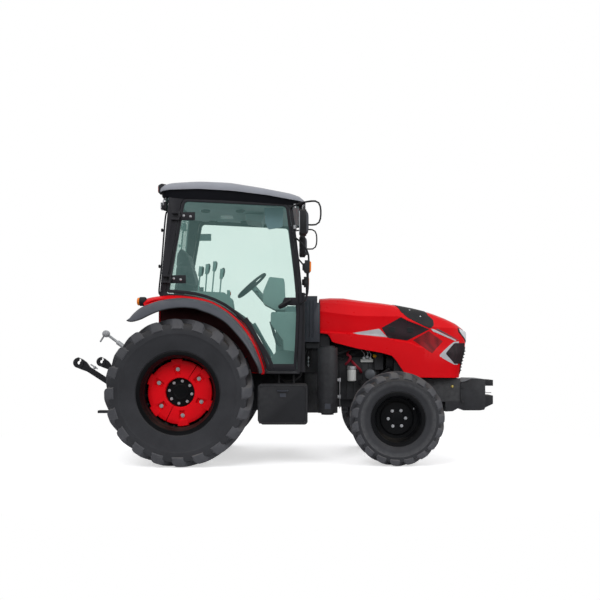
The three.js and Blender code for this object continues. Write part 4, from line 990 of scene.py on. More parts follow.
def nose_side(side_name):
    """Lamp, vent and chevron on one corner of the nose."""
    put = HOOD_SKIN.panel
    turn = (lambda bounds: [(-a, lo, hi) for a, lo, hi in bounds][::-1]) if side_name == "left" \
        else (lambda bounds: bounds)
    rays = lambda bounds, n, m: round_rays(turn(bounds), NOSE_AXIS, n, m)
    lamp = [(9, 1150, 1205), (20, 1150, 1222), (30, 1172, 1244), (38, 1215, 1270), (43, 1258, 1282)]
    bezel = [(5, 1136, 1213), (20, 1136, 1231), (30, 1158, 1254), (38, 1200, 1281), (45, 1250, 1292)]
    make(f"hood_headlight_{side_name}", put(rays(lamp, 28, 6), 5.0), "lamp", "hood", bevel=2.0)
    make(f"hood_headlight_bezel_{side_name}", put(rays(bezel, 28, 6), 2.5), "plastic", "hood", bevel=1.5)
    vent = [(33, 935, 1141), (50, 937, 1141), (62.5, 1032, 1044)]
    make(f"hood_front_vent_{side_name}", put(rays(vent, 24, 9), 3.0), "mesh", "hood", bevel=1.2)
    chevron = [(44, 926, 1156), (51, 930, 1153), (72.4, 1008, 1026)]
    make(f"hood_chevron_{side_name}", put(rays(chevron, 24, 9), 1.6), "trim", "hood", bevel=1.0)


def hood_cap():
    """Black cover across the hood's shoulder, in front of the engine."""
    bounds = [(24, 2370, 2392), (28, 2300, 2420), (38, 2160, 2418), (46, 2098, 2372), (58, 2060, 2352),
              (90, 2025, 2340)]
    bounds += flipped(bounds)[1:]
    shape = HOOD_SKIN.panel(over_rays(bounds, SHOULDER_AXIS, across=18, down=56), 3.5)
    make("hood_black_cap", shape, "plastic", "hood", bevel=1.5)
    studs = Shape()
    for angle, x in ((52, 2190), (42, 2290), (128, 2190), (138, 2290)):
        place, normal = HOOD_SKIN.hit(*over_rays([(angle, x, x + 1), (angle, x, x + 1)],
                                                 SHOULDER_AXIS, across=2, down=2)[0][0])
        studs.dome(place + normal * 3 * MM, normal, 9, 5)
    make("hood_cap_studs", studs, "steel", "hood")


def grille_bars():
    """Black mouth in the nose, its surround and level slats."""
    put = HOOD_SKIN.panel
    mouth = [(-33, 905, 1060), (-30, 850, 1090), (0, 842, 1100), (30, 850, 1090), (33, 905, 1060)]
    frame_line = [(a * 1.09, lo - 14, hi + 14) for a, lo, hi in mouth]
    make("grille_surround", put(round_rays(frame_line, NOSE_AXIS, 40, 10), 5.0), "plastic", "hood", bevel=3.0)
    make("grille_mesh", put(round_rays(mouth, NOSE_AXIS, 40, 10), 6.5), "mesh", "hood", bevel=1.0)
    slats = Shape()
    for k in range(7):
        z = 872 + 32 * k
        half = 29.0
        part = put(round_rays([(-half, z - 6, z + 6), (half, z - 6, z + 6)], NOSE_AXIS, 30, 2), 15.0, 2)
        slats.add(part.points, part.faces)
    make("grille_slats", slats, "cab", "hood", bevel=2.0)


for each in SIDES:
    hood_side(each)
    nose_side(each)
hood_cap()
grille_bars()


# ---------------------------------------------------------------- fenders

RED_TOP = [(-338, 1546), (-300, 1560), (-206, 1575), (-75, 1582), (41, 1576), (171, 1558), (287, 1523),
           (404, 1458), (482, 1397), (574, 1307), (652, 1198), (714, 1074), (768, 919), (776, 860)]
FLARE_TOP = [(-462, 1352), (-448, 1378), (-422, 1416), (-357, 1468), (-257, 1509), (-180, 1531),
             (-64, 1549), (51, 1552), (180, 1533), (295, 1501), (410, 1435), (487, 1374), (564, 1290),
             (641, 1182), (702, 1059), (749, 928), (760, 862)]
FLARE_LOW = [(-462, 1338), (-440, 1330), (-403, 1330), (-336, 1349), (-260, 1386), (-185, 1418),
             (-89, 1443), (39, 1455), (152, 1446), (202, 1430), (315, 1388), (428, 1321), (525, 1223),
             (615, 1111), (682, 998), (727, 908), (741, 862)]


def even(points, count):
    """A smooth line through (x, z) points, as evenly spaced points."""
    line = smooth_line([(x, z, 0) for x, z in points], 10)
    return [(p.x, p.y) for p in paced(line, count)]


def fender_skins(side_name):
    """The bowed flare, the red strip above it and the bead under it."""
    on = beside(SIDES[side_name])
    count = 64
    top, low, red = even(FLARE_TOP, count), even(FLARE_LOW, count), even(RED_TOP, count)
    rings = []
    for (tx, tz), (lx, lz) in zip(top, low):
        ring = []
        for step in range(9):
            a = math.radians(6 + 84 * step / 8)
            share = math.cos(a)
            ring.append((lx + (tx - lx) * share, 698 + 167 * math.sin(a), lz + (tz - lz) * share))
        inner = [(x + (0 - x) * 0.012, y - 9, z - 9) for x, y, z in ring[::-1]]
        edge = (lx, 864, lz - 4)
        back = (lx * 0.99, 850, lz + 2)
        rings.append([on(x, y, z) for x, y, z in ring + [edge, back] + inner[1:]])
    make(f"flare_skin_{side_name}", Shape().rings(rings), "flare", bevel=1.5, angle=40,
         stands_for=(f"fender_flare_{side_name}",))
    strip = []
    for (rx, rz), (tx, tz) in zip(red, top):
        if tz < rz - 130 or tx < -345:
            tx, tz = max(tx, -345), max(tz, rz - 70)
        strip.append([on(rx, 628, rz - 10), on(rx, 630, rz), on(rx, 643, rz - 1),
                      on((rx + tx) / 2, 676, (rz + tz) / 2 + 5), on(tx, 702, tz + 1),
                      on(tx, 702, tz - 7), on((rx + tx) / 2, 668, (rz + tz) / 2 - 10)])
    make(f"fender_edge_strip_{side_name}", Shape().rings(strip), "red", bevel=1.2, angle=40)
    beads = Shape()
    line = even(FLARE_LOW, 80)
    beads.tube([on(x, 860, z + 1) for x, z in line], 6, 8)
    make(f"flare_edge_bead_{side_name}", beads, "plastic")


CROWN = [(-345, 1540), (-228, 1573), (-65, 1575), (147, 1547), (330, 1482), (474, 1386),
         (593, 1256), (689, 1083), (750, 930), (772, 848)]


def below_crown(depth, start=0, steps=6):
    """The crown's line moved in by a depth, as (x, z) millimetres."""
    line = smooth_line([(x, z, 0) for x, z in CROWN], steps)[start:]
    moved = []
    for i, p in enumerate(line):
        way = (line[min(i + 1, len(line) - 1)] - line[max(i - 1, 0)]).normalized()
        moved.append((p.x + way.y * depth, p.y - way.x * depth))
    return moved


def fender_liner(side_name):
    """Lining of the wheel house, under the crown and on the inner wall, in a darkened copy of the red paint:
    painted shade for the underside out of the light.
    """
    side = SIDES[side_name]
    on = beside(side)
    shape = Shape()
    outer, inner = below_crown(14), below_crown(17)
    shape.rings([[on(x0, 482, z0), on(x0, 634, z0), on(x1, 634, z1),
                  on(x1, 482, z1)] for (x0, z0), (x1, z1) in zip(outer, inner)])
    wall = [(x, z) for x, z in below_crown(16) if x > -235] + [(640, 862), (596, 1008), (-235, 1008)]
    shape.prism(wall, side * 481, side * 484)
    # painted shade: the lining takes the darkened copy of the red paint
    make(f"fender_liner_{side_name}", shape, "shaded_red", "root", bevel=0.5)


def flare_stud(side_name):
    """The small nub on the flare's rear end."""
    on = beside(SIDES[side_name])
    nub = Shape().dome(on(-420, 800, 1352), Vector((-0.3, 0, 1)), 9, 8)
    make(f"flare_stud_{side_name}", nub, "plastic")


for each in SIDES:
    fender_skins(each)
    fender_liner(each)
    flare_stud(each)


# ---------------------------------------------------------------- under the hood


def radiator():
    """Radiator block, its fins, the fan and its shroud."""
    core = Shape().box((2040, -226, 796), (2190, 226, 1128))
    core.box((2194, -208, 800), (2232, 208, 1092))
    make("radiator_block", core, "iron", bevel=6.0)
    fins = Shape()
    for k in range(12):
        y = -198 + 36 * k
        fins.box((2232, y - 3, 812), (2240, y + 3, 1080))
    make("radiator_front_fins", fins, "rim", bevel=0.8)
    shroud = Shape()
    ring = [[at(x, r * math.cos(a), 960 + r * 0.74 * math.sin(a))
             for a in (2 * math.pi * k / 40 for k in range(40))]
            for x, r in ((2036, 208), (1965, 206), (1965, 196), (2030, 196))]
    shroud.rings(ring)
    make("fan_shroud", shroud, "plastic", bevel=2.0)
    fan = Shape()
    for k in range(7):
        a = 2 * math.pi * k / 7
        blade = []
        for r, turn, lean in ((46, -0.22, 12), (182, -0.12, 20), (182, 0.12, -20), (46, 0.22, -12)):
            p = at(1985 + lean, r * math.cos(a + turn), 960 + r * 0.72 * math.sin(a + turn))
            blade.append(p)
        back = [p + Vector((0.004, 0, 0)) for p in blade]
        fan.rings([blade, back])
    fan.tube([at(1925, 0, 960), at(1940, 0, 960), at(1996, 0, 960), at(2004, 0, 960)], [30, 52, 52, 40], 24)
    make("cooling_fan", fan, "plastic", bevel=1.0)


def engine_top():
    """Rocker cover and the intake hose over it."""
    cover = Shape()
    cover.prism(rounded([(1334, 1131), (1820, 1131), (1880, 1090), (1880, 1060), (1334, 1060)], 18),
                -128, 128)
    for x in (1400, 1500, 1600, 1700):
        cover.box((x, -96, 1130), (x + 60, 96, 1152))
    make("engine_top_cover", cover, "plastic", bevel=8.0)
    intake = Shape()
    path = smooth_line([at(1420, -60, 1165), at(1500, -96, 1180), at(1640, -104, 1176),
                        at(1800, -96, 1150), at(1900, -60, 1128), at(1962, 0, 1080)], 8)
    intake.tube(path, 34, 20)
    for k in range(2, len(path) - 2, 2):
        intake.tube([path[k], path[k] + (path[k + 1] - path[k]) * 0.4], 37.5, 20)
    make("air_intake_hose", intake, "hose")


def engine_flank(side_name):
    """Bolts, ribs and the oil filter on one side of the engine."""
    side = SIDES[side_name]
    on = beside(side)
    out = Vector((0, side, 0))
    flange = Shape()
    for z, r in ((640, 9), (770, 9), (985, 8)):
        for x in (1345, 1505, 1665, 1825):
            flange.bolt(on(x, 168, z), out, r, 11)
    make(f"engine_side_bolts_{side_name}", flange, "iron", bevel=0.8)
    ribs = Shape()
    for k in range(7):
        x = 1350 + 74 * k
        ribs.box((x, side * 168, 600), (x + 12, side * 182, 930))
    make(f"engine_block_ribs_{side_name}", ribs, "iron", bevel=3.0)
    can = Shape()
    can.tube([on(1620, 226, 764), on(1620, 226, 770), on(1620, 226, 872), on(1620, 226, 880)],
             [34, 43, 43, 36], 28)
    make(f"oil_filter_can_{side_name}", can, "white", bevel=2.0)
    head = Shape()
    head.tube([on(1620, 226, 880), on(1620, 226, 884), on(1620, 226, 908), on(1620, 226, 914)],
              [38, 47, 47, 36], 28)
    head.prism([(1592, 878), (1648, 878), (1648, 910), (1592, 910)], side * 160, side * 210)
    make(f"filter_head_{side_name}", head, "steel", bevel=3.0)


def engine_pump(side_name):
    """Red hoses, injection pump and filler cap on one side of the engine."""
    side = SIDES[side_name]
    on = beside(side)
    for n, line in enumerate((
            [(1588, 176, 1060), (1580, 214, 1030), (1606, 232, 1000), (1590, 226, 960),
             (1560, 200, 930)],
            [(1600, 176, 985), (1632, 216, 950), (1660, 236, 918), (1700, 220, 880), (1720, 176, 850)],
    )):
        path = smooth_line([on(*p) for p in line], 8)
        make(f"engine_red_hose_{n}_{side_name}", Shape().tube(path, 13, 14), "wine")
    pump = Shape()
    for x, z, r in ((1742, 990, 17), (1776, 1004, 15), (1806, 990, 14)):
        pump.tube([on(x, 166, z), on(x, 214, z), on(x, 222, z)], [r, r, r * 0.7], 18)
        pump.tube(smooth_line([on(x, 206, z + 8), on(x + 4, 214, z + 44), on(x - 24, 190, z + 82),
                               on(x - 34, 150, z + 96)], 6), 4, 10)
    make(f"injection_pump_unions_{side_name}", pump, "steel", bevel=1.0)
    make(f"injection_pump_body_{side_name}",
         Shape().box((1712, side * 150, 950), (1836, side * 196, 985)), "white", bevel=6.0)
    cap = Shape().tube([on(1851, 176, 1000), on(1851, 200, 1014), on(1851, 208, 1018)], [13, 22, 19], 20)
    make(f"engine_filler_cap_{side_name}", cap, "yellow", bevel=1.5)


def engine_lines(side_name):
    """Alternator, coolant hoses and wiring on one side of the engine."""
    on = beside(SIDES[side_name])
    alternator = Shape()
    alternator.tube([on(1800, 168, 832), on(1800, 180, 832), on(1800, 262, 832), on(1800, 270, 832)],
                    [40, 50, 50, 38], 28)
    for k in range(7):
        a = math.pi * (0.15 + 0.12 * k)
        alternator.rod(on(1800 - 50 * math.cos(a), 196, 832 + 50 * math.sin(a)),
                       on(1800 - 50 * math.cos(a), 252, 832 + 50 * math.sin(a)), 4.5, 8)
    make(f"alternator_{side_name}", alternator, "alloy", bevel=1.5)
    pipes = Shape()
    pipes.tube(smooth_line([on(1440, 180, 1030), on(1470, 226, 1036), on(1530, 232, 1050),
                            on(1600, 226, 1080), on(1700, 200, 1090), on(1830, 160, 1084)], 8), 15, 14)
    pipes.tube(smooth_line([on(1700, 180, 760), on(1740, 226, 740), on(1850, 226, 760),
                            on(1920, 200, 830), on(2000, 196, 880)], 8), 17, 14)
    pipes.tube(smooth_line([on(1880, 120, 1060), on(1940, 150, 1050), on(2000, 176, 1060),
                            on(2042, 180, 1080)], 8), 21, 16)
    make(f"coolant_hoses_{side_name}", pipes, "hose")
    wires = Shape()
    for k, lift in enumerate((0, 22, 40)):
        wires.tube(smooth_line([on(1334, 196, 1000 + lift), on(1420, 206 + 6 * k, 960 + lift),
                                on(1520, 196, 978 + lift), on(1640, 190 + 5 * k, 1044 - lift / 2),
                                on(1760, 188, 1070), on(1870, 180, 1040 + lift / 2)], 7), 5.5, 8)
    make(f"engine_wiring_{side_name}", wires, "hose")


def under_cowl():
    """Skirt, ducts, seals, rods and hoses between the cowl and the gearbox."""
    shape = Shape()
    shape.prism(rounded([(1102, 848), (1290, 848), (1290, 1148), (1190, 1148), (1102, 1100)], 6),
                -252, 252)
    shape.prism(rounded([(1292, 1092), (1400, 1092), (1400, 1236), (1352, 1262), (1292, 1262)], 12),
                -290, 290)
    make("firewall_skirt", shape, "plastic", bevel=10.0)
    duct = Shape()
    duct.prism(rounded([(1846, 872), (1938, 872), (1938, 1052), (1900, 1082), (1846, 1082)], 14),
               -205, 205)
    make("radiator_duct", duct, "iron", bevel=8.0)
    for side_name, side in SIDES.items():
        seal = Shape()
        seal.prism(rounded([(1080, 862), (1152, 862), (1152, 1612), (1084, 1612)], 4),
                   side * 562.5, side * 583)
        make(f"cowl_side_seal_{side_name}", seal, "cab", bevel=2.0)
        on = beside(side)
        box = Shape()
        box.prism(rounded([(1168, 1086), (1296, 1086), (1296, 1148), (1150, 1148)], 10),
                  side * 246, side * 306)
        make(f"cowl_lower_duct_{side_name}", box, "plastic", bevel=8.0)
        rods = Shape().rod(on(1190, 268, 905), on(1190, 268, 1010), 5, 12)
        for z in (925, 958, 996):
            rods.tube([on(1190, 268, z - 8), on(1190, 268, z - 4), on(1190, 268, z + 4),
                       on(1190, 268, z + 8)], [6, 11, 11, 6], 14)
        make(f"brake_rod_{side_name}", rods, "steel", bevel=0.6)
        lines = Shape()
        for k in range(3):
            lines.tube(smooth_line([on(1130 + 34 * k, 200, 912), on(1136 + 34 * k, 262, 930),
                                    on(1150 + 30 * k, 266, 1010), on(1180 + 22 * k, 262, 1090),
                                    on(1200 + 20 * k, 240, 1140)], 7), 9, 12)
        make(f"cowl_hoses_{side_name}", lines, "hose")


def muffler_details():
    """Fittings, a thin pipe and a drain plate on the tall silencer can."""
    low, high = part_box("exhaust_muffler")
    centre = middle("exhaust_muffler")
    x1 = (high[0] - REAR_AXLE_X) / MM
    mid_x, mid_y = (centre.x - REAR_AXLE_X) / MM, centre.y / MM
    y0, z0 = low[1] / MM, low[2] / MM
    fittings = Shape()
    for z in (620, 782):
        fittings.tube([at(x1 - 4, mid_y - 30, z), at(x1 + 16, mid_y - 30, z), at(x1 + 20, mid_y - 30, z),
                       at(x1 + 34, mid_y - 30, z)], [15, 15, 9, 9], 16)
        fittings.tube([at(x1 + 24, mid_y - 30, z - 20), at(x1 + 24, mid_y - 30, z + 20)], 11, 14)
    fittings.tube([at(x1 + 24, mid_y - 30, 505), at(x1 + 24, mid_y - 30, 800)], 4.5, 10)
    make("silencer_sensor_pipe", fittings, "steel", bevel=0.8)
    make("silencer_drain_plate",
         Shape().box((mid_x - 30, y0 - 5, z0 + 60), (mid_x + 26, y0 + 6, z0 + 110)), "cowl", bevel=3.0)


def cowl_ridges():
    """Upright ribs on the slate panels beside the windscreen's foot."""
    skin = Skin("cowl")
    for side_name, side in SIDES.items():
        on = beside(side)
        ribs = Shape()
        for x in (1172, 1206, 1240):
            rows = [[(on(x + d, 1500, z), Vector((0, -side, 0))) for d in (-5, 5)]
                    for z in spread(1190, 1560, 12)]
            part = skin.panel(rows, 7.0, 2.0)
            ribs.add(part.points, part.faces)
        make(f"cowl_ribs_{side_name}", ribs, "cowl", bevel=2.5)


radiator()
engine_top()
for each in SIDES:
    engine_flank(each)
    engine_pump(each)
    engine_lines(each)
under_cowl()
muffler_details()
cowl_ridges()


# ---------------------------------------------------------------- boxes, front weight and hitch


def battery_box_trims():
    """Catch, lid seam and bolts on the outer face of the battery box."""
    low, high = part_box("battery_box")
    x0, x1 = (low[0] - REAR_AXLE_X) / MM, (high[0] - REAR_AXLE_X) / MM
    z0, z1 = low[2] / MM, high[2] / MM
    way = -1 if low[1] + high[1] < 0 else 1
    face = (low[1] if way < 0 else high[1]) / MM
    mid = (x0 + x1) / 2
    proud = lambda rise: face + way * rise
    catch = Shape()
    catch.tube(smooth_line([at(mid - 46, face, z1 - 56), at(mid - 44, proud(14), z1 - 60),
                            at(mid, proud(17), z1 - 62), at(mid + 44, proud(14), z1 - 60),
                            at(mid + 46, face, z1 - 56)], 5), 5, 10)
    catch.box((mid - 26, face, z1 - 118), (mid + 30, proud(4), z1 - 84))
    make("battery_box_catch", catch, "cowl", bevel=1.5)
    seam = Shape()
    for x in (x0 + 14, x1 - 14):
        seam.tube([at(x, proud(1), z0 + 14), at(x, proud(1), z1 - 12)], 4, 8)
    for z in (z0 + 14, z1 - 12):
        seam.tube([at(x0 + 14, proud(1), z), at(x1 - 14, proud(1), z)], 4, 8)
    make("battery_box_lid_seam", seam, "plastic")
    bolts = Shape()
    for x in (x0 + 26, x1 - 26):
        for z in (z0 + 26, z1 - 26):
            bolts.bolt(at(x, face, z), Vector((0, way, 0)), 6, 6)
    make("battery_box_bolts", bolts, "iron", bevel=0.5)


def step_hangers():
    """Brackets, pipes and plates between the cab floor and the side boxes."""
    for side_name, side in SIDES.items():
        on = beside(side)
        shape = Shape()
        for x in (905, 1046):
            shape.rod(on(x, 520, 738), on(x, 520, 846), 9, 12)
            shape.tube([on(x, 520, 742), on(x, 520, 752), on(x, 520, 760)], [18, 18, 10], 14)
        make(f"step_hangers_{side_name}", shape, "iron", bevel=0.6)
        pipes = Shape()
        for k in range(3):
            pipes.tube(smooth_line([on(860, 420 + 26 * k, 846), on(880 + 20 * k, 420 + 22 * k, 800),
                                    on(980, 410 + 20 * k, 776 - 8 * k), on(1090, 400 + 14 * k, 800),
                                    on(1120, 380, 845)], 7), 9, 12)
        make(f"floor_pipes_{side_name}", pipes, "hose")


def front_details():
    """Bolts, plugs and the top plate of the front frame and weight; the plate's pale grey is painted light on
    the top face.
    """
    bolts = Shape()
    for side_name, side in SIDES.items():
        on = beside(side)
        out = Vector((0, side, 0))
        for x, z in ((2720, 560), (2720, 700), (2440, 600), (2440, 740), (2250, 640)):
            bolts.bolt(on(x, (230 if x > 2700 else 220), z), out, 11, 12)
        plug = Shape().dome(on(2618, 220, 711), out, 15, 10)
        make(f"frame_plug_{side_name}", plug, "brass", bevel=0.6)
        make(f"weight_seam_{side_name}", Shape().box((2952, side * 110, 640), (3036, side * 113, 646)),
             "cab", bevel=0.8)
    make("front_frame_bolts", bolts, "iron", bevel=0.8)
    # a pale grey plate over the weight's top: painted light, lighter than the iron where the top face catches
    # the light
    top = Shape()
    top.prism([(2712, 753), (2748, 757), (2806, 783), (2940, 780), (2940, 784), (2804, 787),
               (2745, 761), (2712, 757)], -214, 214)
    make("front_weight_lit_top", top, "flare", bevel=1.5)


battery_box_trims()
step_hangers()
front_details()


# ---------------------------------------------------------------- roof

ROOF_TOP = [(-214, 2588), (-196, 2618), (-150, 2634), (-82, 2645), (155, 2659), (439, 2648), (723, 2602),
            (1007, 2547), (1100, 2520), (1159, 2478)]
ROOF_LINE = [(-216, 2552), (-122, 2566), (155, 2574), (474, 2556), (790, 2517), (1045, 2470),
             (1160, 2452)]
ROOF_LOW = [(-216, 2518), (-120, 2500), (-20, 2486), (344, 2476), (728, 2452), (979, 2430), (1160, 2424)]


def roof_ring(height, x0, x1, half, corner, steps=9):
    """A level line round the roof: height gives its z at an x, corner its plan radius."""
    line = []
    for x, y, first in ((x1, half, 0), (x0, half, 90), (x0, -half, 180), (x1, -half, 270)):
        cx = x - corner if x == x1 else x + corner
        cy = y - corner if y > 0 else y + corner
        for k in range(steps + 1):
            a = math.radians(first + 90 * k / steps)
            line.append((cx + corner * math.cos(a), cy + corner * math.sin(a)))
    dense = []
    for i, (x, y) in enumerate(line):
        nx, ny = line[(i + 1) % len(line)]
        parts = max(1, round(math.hypot(nx - x, ny - y) / 70))
        dense += [(x + (nx - x) * k / parts, y + (ny - y) * k / parts) for k in range(parts)]
    return [at(x, y, height(x)) for x, y in dense]


def roof():
    """Roof shell, the dark band under it and the headliner."""
    top = lambda x: line_at(ROOF_TOP, x)
    mid = lambda x: line_at(ROOF_LINE, x)
    low = lambda x: line_at(ROOF_LOW, x)
    lift = lambda t: (lambda x: mid(x) + (top(x) - mid(x)) * t)
    count = len(roof_ring(mid, -214, 1158, 660, 80))

    def ring(height, x0, x1, half, corner):
        return paced(roof_ring(height, x0, x1, half, corner), count, closed=True)

    shell = Shape()
    shell.rings([ring(lambda x: mid(x) + 5, -196, 1140, 638, 70), ring(mid, -214, 1158, 660, 84),
                 ring(lift(0.3), -217, 1160, 662, 86), ring(lift(0.6), -213, 1155, 656, 90),
                 ring(lift(0.82), -203, 1140, 640, 96), ring(lift(0.94), -186, 1112, 612, 100),
                 ring(lift(0.985), -160, 1070, 570, 104), ring(top, -120, 1020, 510, 110),
                 ring(lambda x: top(x) + 1, 60, 840, 340, 110),
                 ring(lambda x: top(x) + 2, 300, 600, 120, 60)])
    make("roof_top_shell", shell, "roof", bevel=2.0, angle=40, stands_for=("cab_roof",))
    band = Shape()
    band.rings([ring(lambda x: low(x) + 22, -150, 1090, 560, 60), ring(low, -186, 1128, 604, 70),
                ring(lambda x: low(x) + 4, -198, 1140, 622, 72),
                ring(lambda x: mid(x) + 6, -205, 1149, 648, 80),
                ring(lambda x: mid(x) + 8, -150, 1090, 560, 60)])
    make("roof_lower_band", band, "night", bevel=2.0, angle=35)
    liner = Shape()
    liner.rings([ring(lambda x: low(x) + 8, -160, 1100, 575, 60),
                 ring(lambda x: low(x) + 30, -100, 1040, 500, 60)])
    make("cab_headliner", liner, "liner", bevel=2.0)


def work_lamp(name, x, y, z, way):
    """A round-cornered work lamp in a bracket; way is -1 where it faces back."""
    shell = Shape()
    outline = lambda h, v: [(y + dy, z + dz) for dy, dz in rounded([(-h, -v), (h, -v), (h, v), (-h, v)], 14)]
    rings = []
    for dx, h, v in ((22, 26, 22), (14, 40, 34), (-20, 48, 41), (-26, 48, 41)):
        rings.append([at(x - way * -dx, py, pz) for py, pz in outline(h, v)])
    shell.rings(rings)
    make(f"{name}_housing", shell, "plastic", bevel=2.5)
    face = Shape()
    face.rings([[at(x + way * d, py, pz) for py, pz in outline(h, v)]
                for d, h, v in ((24, 42, 35), (30, 41, 34), (33, 34, 28))])
    make(f"{name}_lens", face, "lamp", bevel=2.0)
    arm = Shape()
    arm.tube(smooth_line([at(x, y - 54, z), at(x, y - 60, z + 30), at(x + 6, y - 50, z + 54),
                          at(x + 14, y, z + 58), at(x + 6, y + 50, z + 54), at(x, y + 60, z + 30),
                          at(x, y + 54, z)], 6), 7, 10)
    arm.rod(at(x + 14, y, z + 56), at(x + 14, y, z + 92), 9, 12)
    make(f"{name}_bracket", arm, "steel", bevel=0.5)


def roof_corner_lamp(side_name):
    """The dark lamp block let into the roof's rear corner."""
    side = SIDES[side_name]
    block = Shape()
    block.prism(rounded([(-226, 2548), (-150, 2548), (-146, 2628), (-196, 2638), (-228, 2622)],
                        [10, 6, 10, 20, 16]),
                side * 520, side * 602)
    make(f"roof_corner_lamp_{side_name}", block, "cab", bevel=4.0)
    face = Shape()
    face.slab(rounded([(side * 530, 2558), (side * 592, 2558), (side * 592, 2616), (side * 530, 2616)], 8),
              -231, -226)
    make(f"roof_corner_lens_{side_name}", face, "ruby", bevel=1.0)


for each in SIDES:
    roof_corner_lamp(each)
roof()
for each, each_side in SIDES.items():
    work_lamp(f"rear_work_lamp_{each}", -176, each_side * 560, 2430, -1)
    work_lamp(f"front_work_lamp_{each}", 1130, each_side * 520, 2392, 1)
antenna = Shape()
antenna.tube([at(903, -300, 2555), at(903, -300, 2574), at(903, -300, 2590), at(903, -300, 2612)],
             [18, 14, 5, 4], 16)
make("roof_antenna_stub", antenna, "plastic")


# ---------------------------------------------------------------- cab trims


def plate_on_side(shape, outline, side, y, thick):
    """A flat plate on the cab's side; outline is (x, z) millimetres."""
    a, b = side * y, side * (y + thick)
    return shape.prism(outline, min(a, b), max(a, b))


def cab_side(side_name):
    """Hinge plates, handle and lock of one door, and the rear window's tube."""
    side = SIDES[side_name]
    on = beside(side)
    door = f"door_{side_name}"
    out = Vector((0, side, 0))
    plates = Shape()
    screws = Shape()
    for (x, z), spots in (((30, 2327), ((16, 2330), (80, 2322))), ((-64, 1735), ((-78, 1740), (-13, 1731)))):
        shape = [(x - 62, z + 34), (x + 60, z + 26), (x + 92, z), (x + 66, z - 30), (x - 52, z - 34)]
        plate_on_side(plates, rounded(shape, [6, 26, 18, 26, 6]), side, 619, 6)
        for sx, sz in spots:
            screws.dome(on(sx, 625, sz), out, 13, 7, 20)
    make(f"door_hinge_plates_{side_name}", plates, "cab", door, bevel=2.0)
    make(f"door_hinge_screws_{side_name}", screws, "steel", door)
    handle = Shape()
    grip_plate = [(898, 1486), (910, 1452), (974, 1476), (1044, 1524), (1048, 1566), (1006, 1562)]
    handle.prism(rounded(grip_plate, 14), side * 618, side * 626)
    handle.tube(smooth_line([on(912, 624, 1476), on(920, 646, 1482), on(966, 652, 1508),
                             on(1012, 648, 1536), on(1022, 624, 1544)], 6), 9, 12)
    make(f"door_handle_{side_name}", handle, "plastic", door, bevel=2.5)
    lock = Shape().dome(on(1030, 626, 1534), out, 9, 4, 16)
    make(f"door_lock_{side_name}", lock, "steel", door)
    tube = Shape()
    path = smooth_line([on(-150, 500, 2400), on(-172, 505, 2368), on(-188, 508, 2215),
                        on(-214, 510, 1870), on(-238, 506, 1640), on(-226, 500, 1600)], 8)
    tube.tube(path, 8, 12)
    for z, x in ((2215, -189), (1870, -214)):
        tube.tube([on(x, 500, z), on(x - 10, 500, z), on(x - 14, 500, z),
                   on(x - 26, 500, z), on(x - 30, 500, z)], [9, 9, 17, 17, 12], 16)
    make(f"rear_window_tube_{side_name}", tube, "cab", bevel=0.6)


def tail_lamp_housing(side_name):
    """Round lamp behind one fender."""
    on = beside(SIDES[side_name])
    shell = Shape()
    xs = ((-322, 24), (-330, 38), (-344, 43), (-382, 43), (-388, 40), (-388, 33))
    shell.tube([on(x, 655, 1523) for x, _ in xs], [r for _, r in xs], 32)
    make(f"tail_lamp_housing_{side_name}", shell, "plastic", bevel=1.5)
    lens_shape = Shape().dome(on(-402, 655, 1523), Vector((-1, 0, 0)), 37, 13, 28)
    lens_shape.tube([on(-386, 655, 1523), on(-402, 655, 1523)], 37, 28)
    make(f"tail_lamp_lens_{side_name}", lens_shape, "amber")


def signal_bar(side_name):
    """Lens, housing and clips on one front signal bar."""
    side = SIDES[side_name]
    on = beside(side)
    lens_shape = Shape()
    y0, y1 = sorted((side * 700, side * 742))
    lens_shape.prism(rounded([(1172, 1790), (1209, 1790), (1211, 1889), (1172, 1889)], [6, 14, 14, 6]),
                     y0, y1)
    make(f"signal_lens_{side_name}", lens_shape, "amber", bevel=4.0)
    shell = Shape().prism(rounded([(1128, 1806), (1174, 1800), (1174, 1880), (1128, 1868)], 10),
                          side * 704, side * 738)
    make(f"signal_housing_{side_name}", shell, "plastic", bevel=4.0)
    clips = Shape()
    for z in (1962, 1700):
        clips.tube([on(1166, 716, z - 12), on(1166, 716, z + 12)], 15, 16)
    make(f"signal_bar_clips_{side_name}", clips, "plastic", bevel=1.5)


def mirror_details(side_name):
    """Glass, back shell and pivots of one mirror."""
    side = SIDES[side_name]
    on = beside(side)
    y0, y1 = sorted((side * 668, side * 832))
    glass_plate = Shape()
    outline = rounded([(y0, 2140), (y1, 2140), (y1, 2340), (y0, 2340)], 16)
    glass_plate.slab(outline, 1098, 1106)
    make(f"mirror_glass_{side_name}", glass_plate, "mirror", bevel=1.0)
    back = Shape()
    rings = []
    for x, cut_in in ((1160, 2), (1172, 8), (1182, 24), (1186, 46)):
        rings.append([at(x, y, z) for y, z in rounded(
            [(y0 + cut_in, 2138 + cut_in), (y1 - cut_in, 2138 + cut_in), (y1 - cut_in, 2342 - cut_in),
             (y0 + cut_in, 2342 - cut_in)], 16)])
    back.rings(rings)
    make(f"mirror_back_{side_name}", back, "flare", bevel=1.5)
    joint = Shape()
    for z in (2222, 2420):
        joint.tube([on(1058, 630, z - 18), on(1058, 630, z + 18)], 13, 16)
    make(f"mirror_pivots_{side_name}", joint, "steel", bevel=1.0)


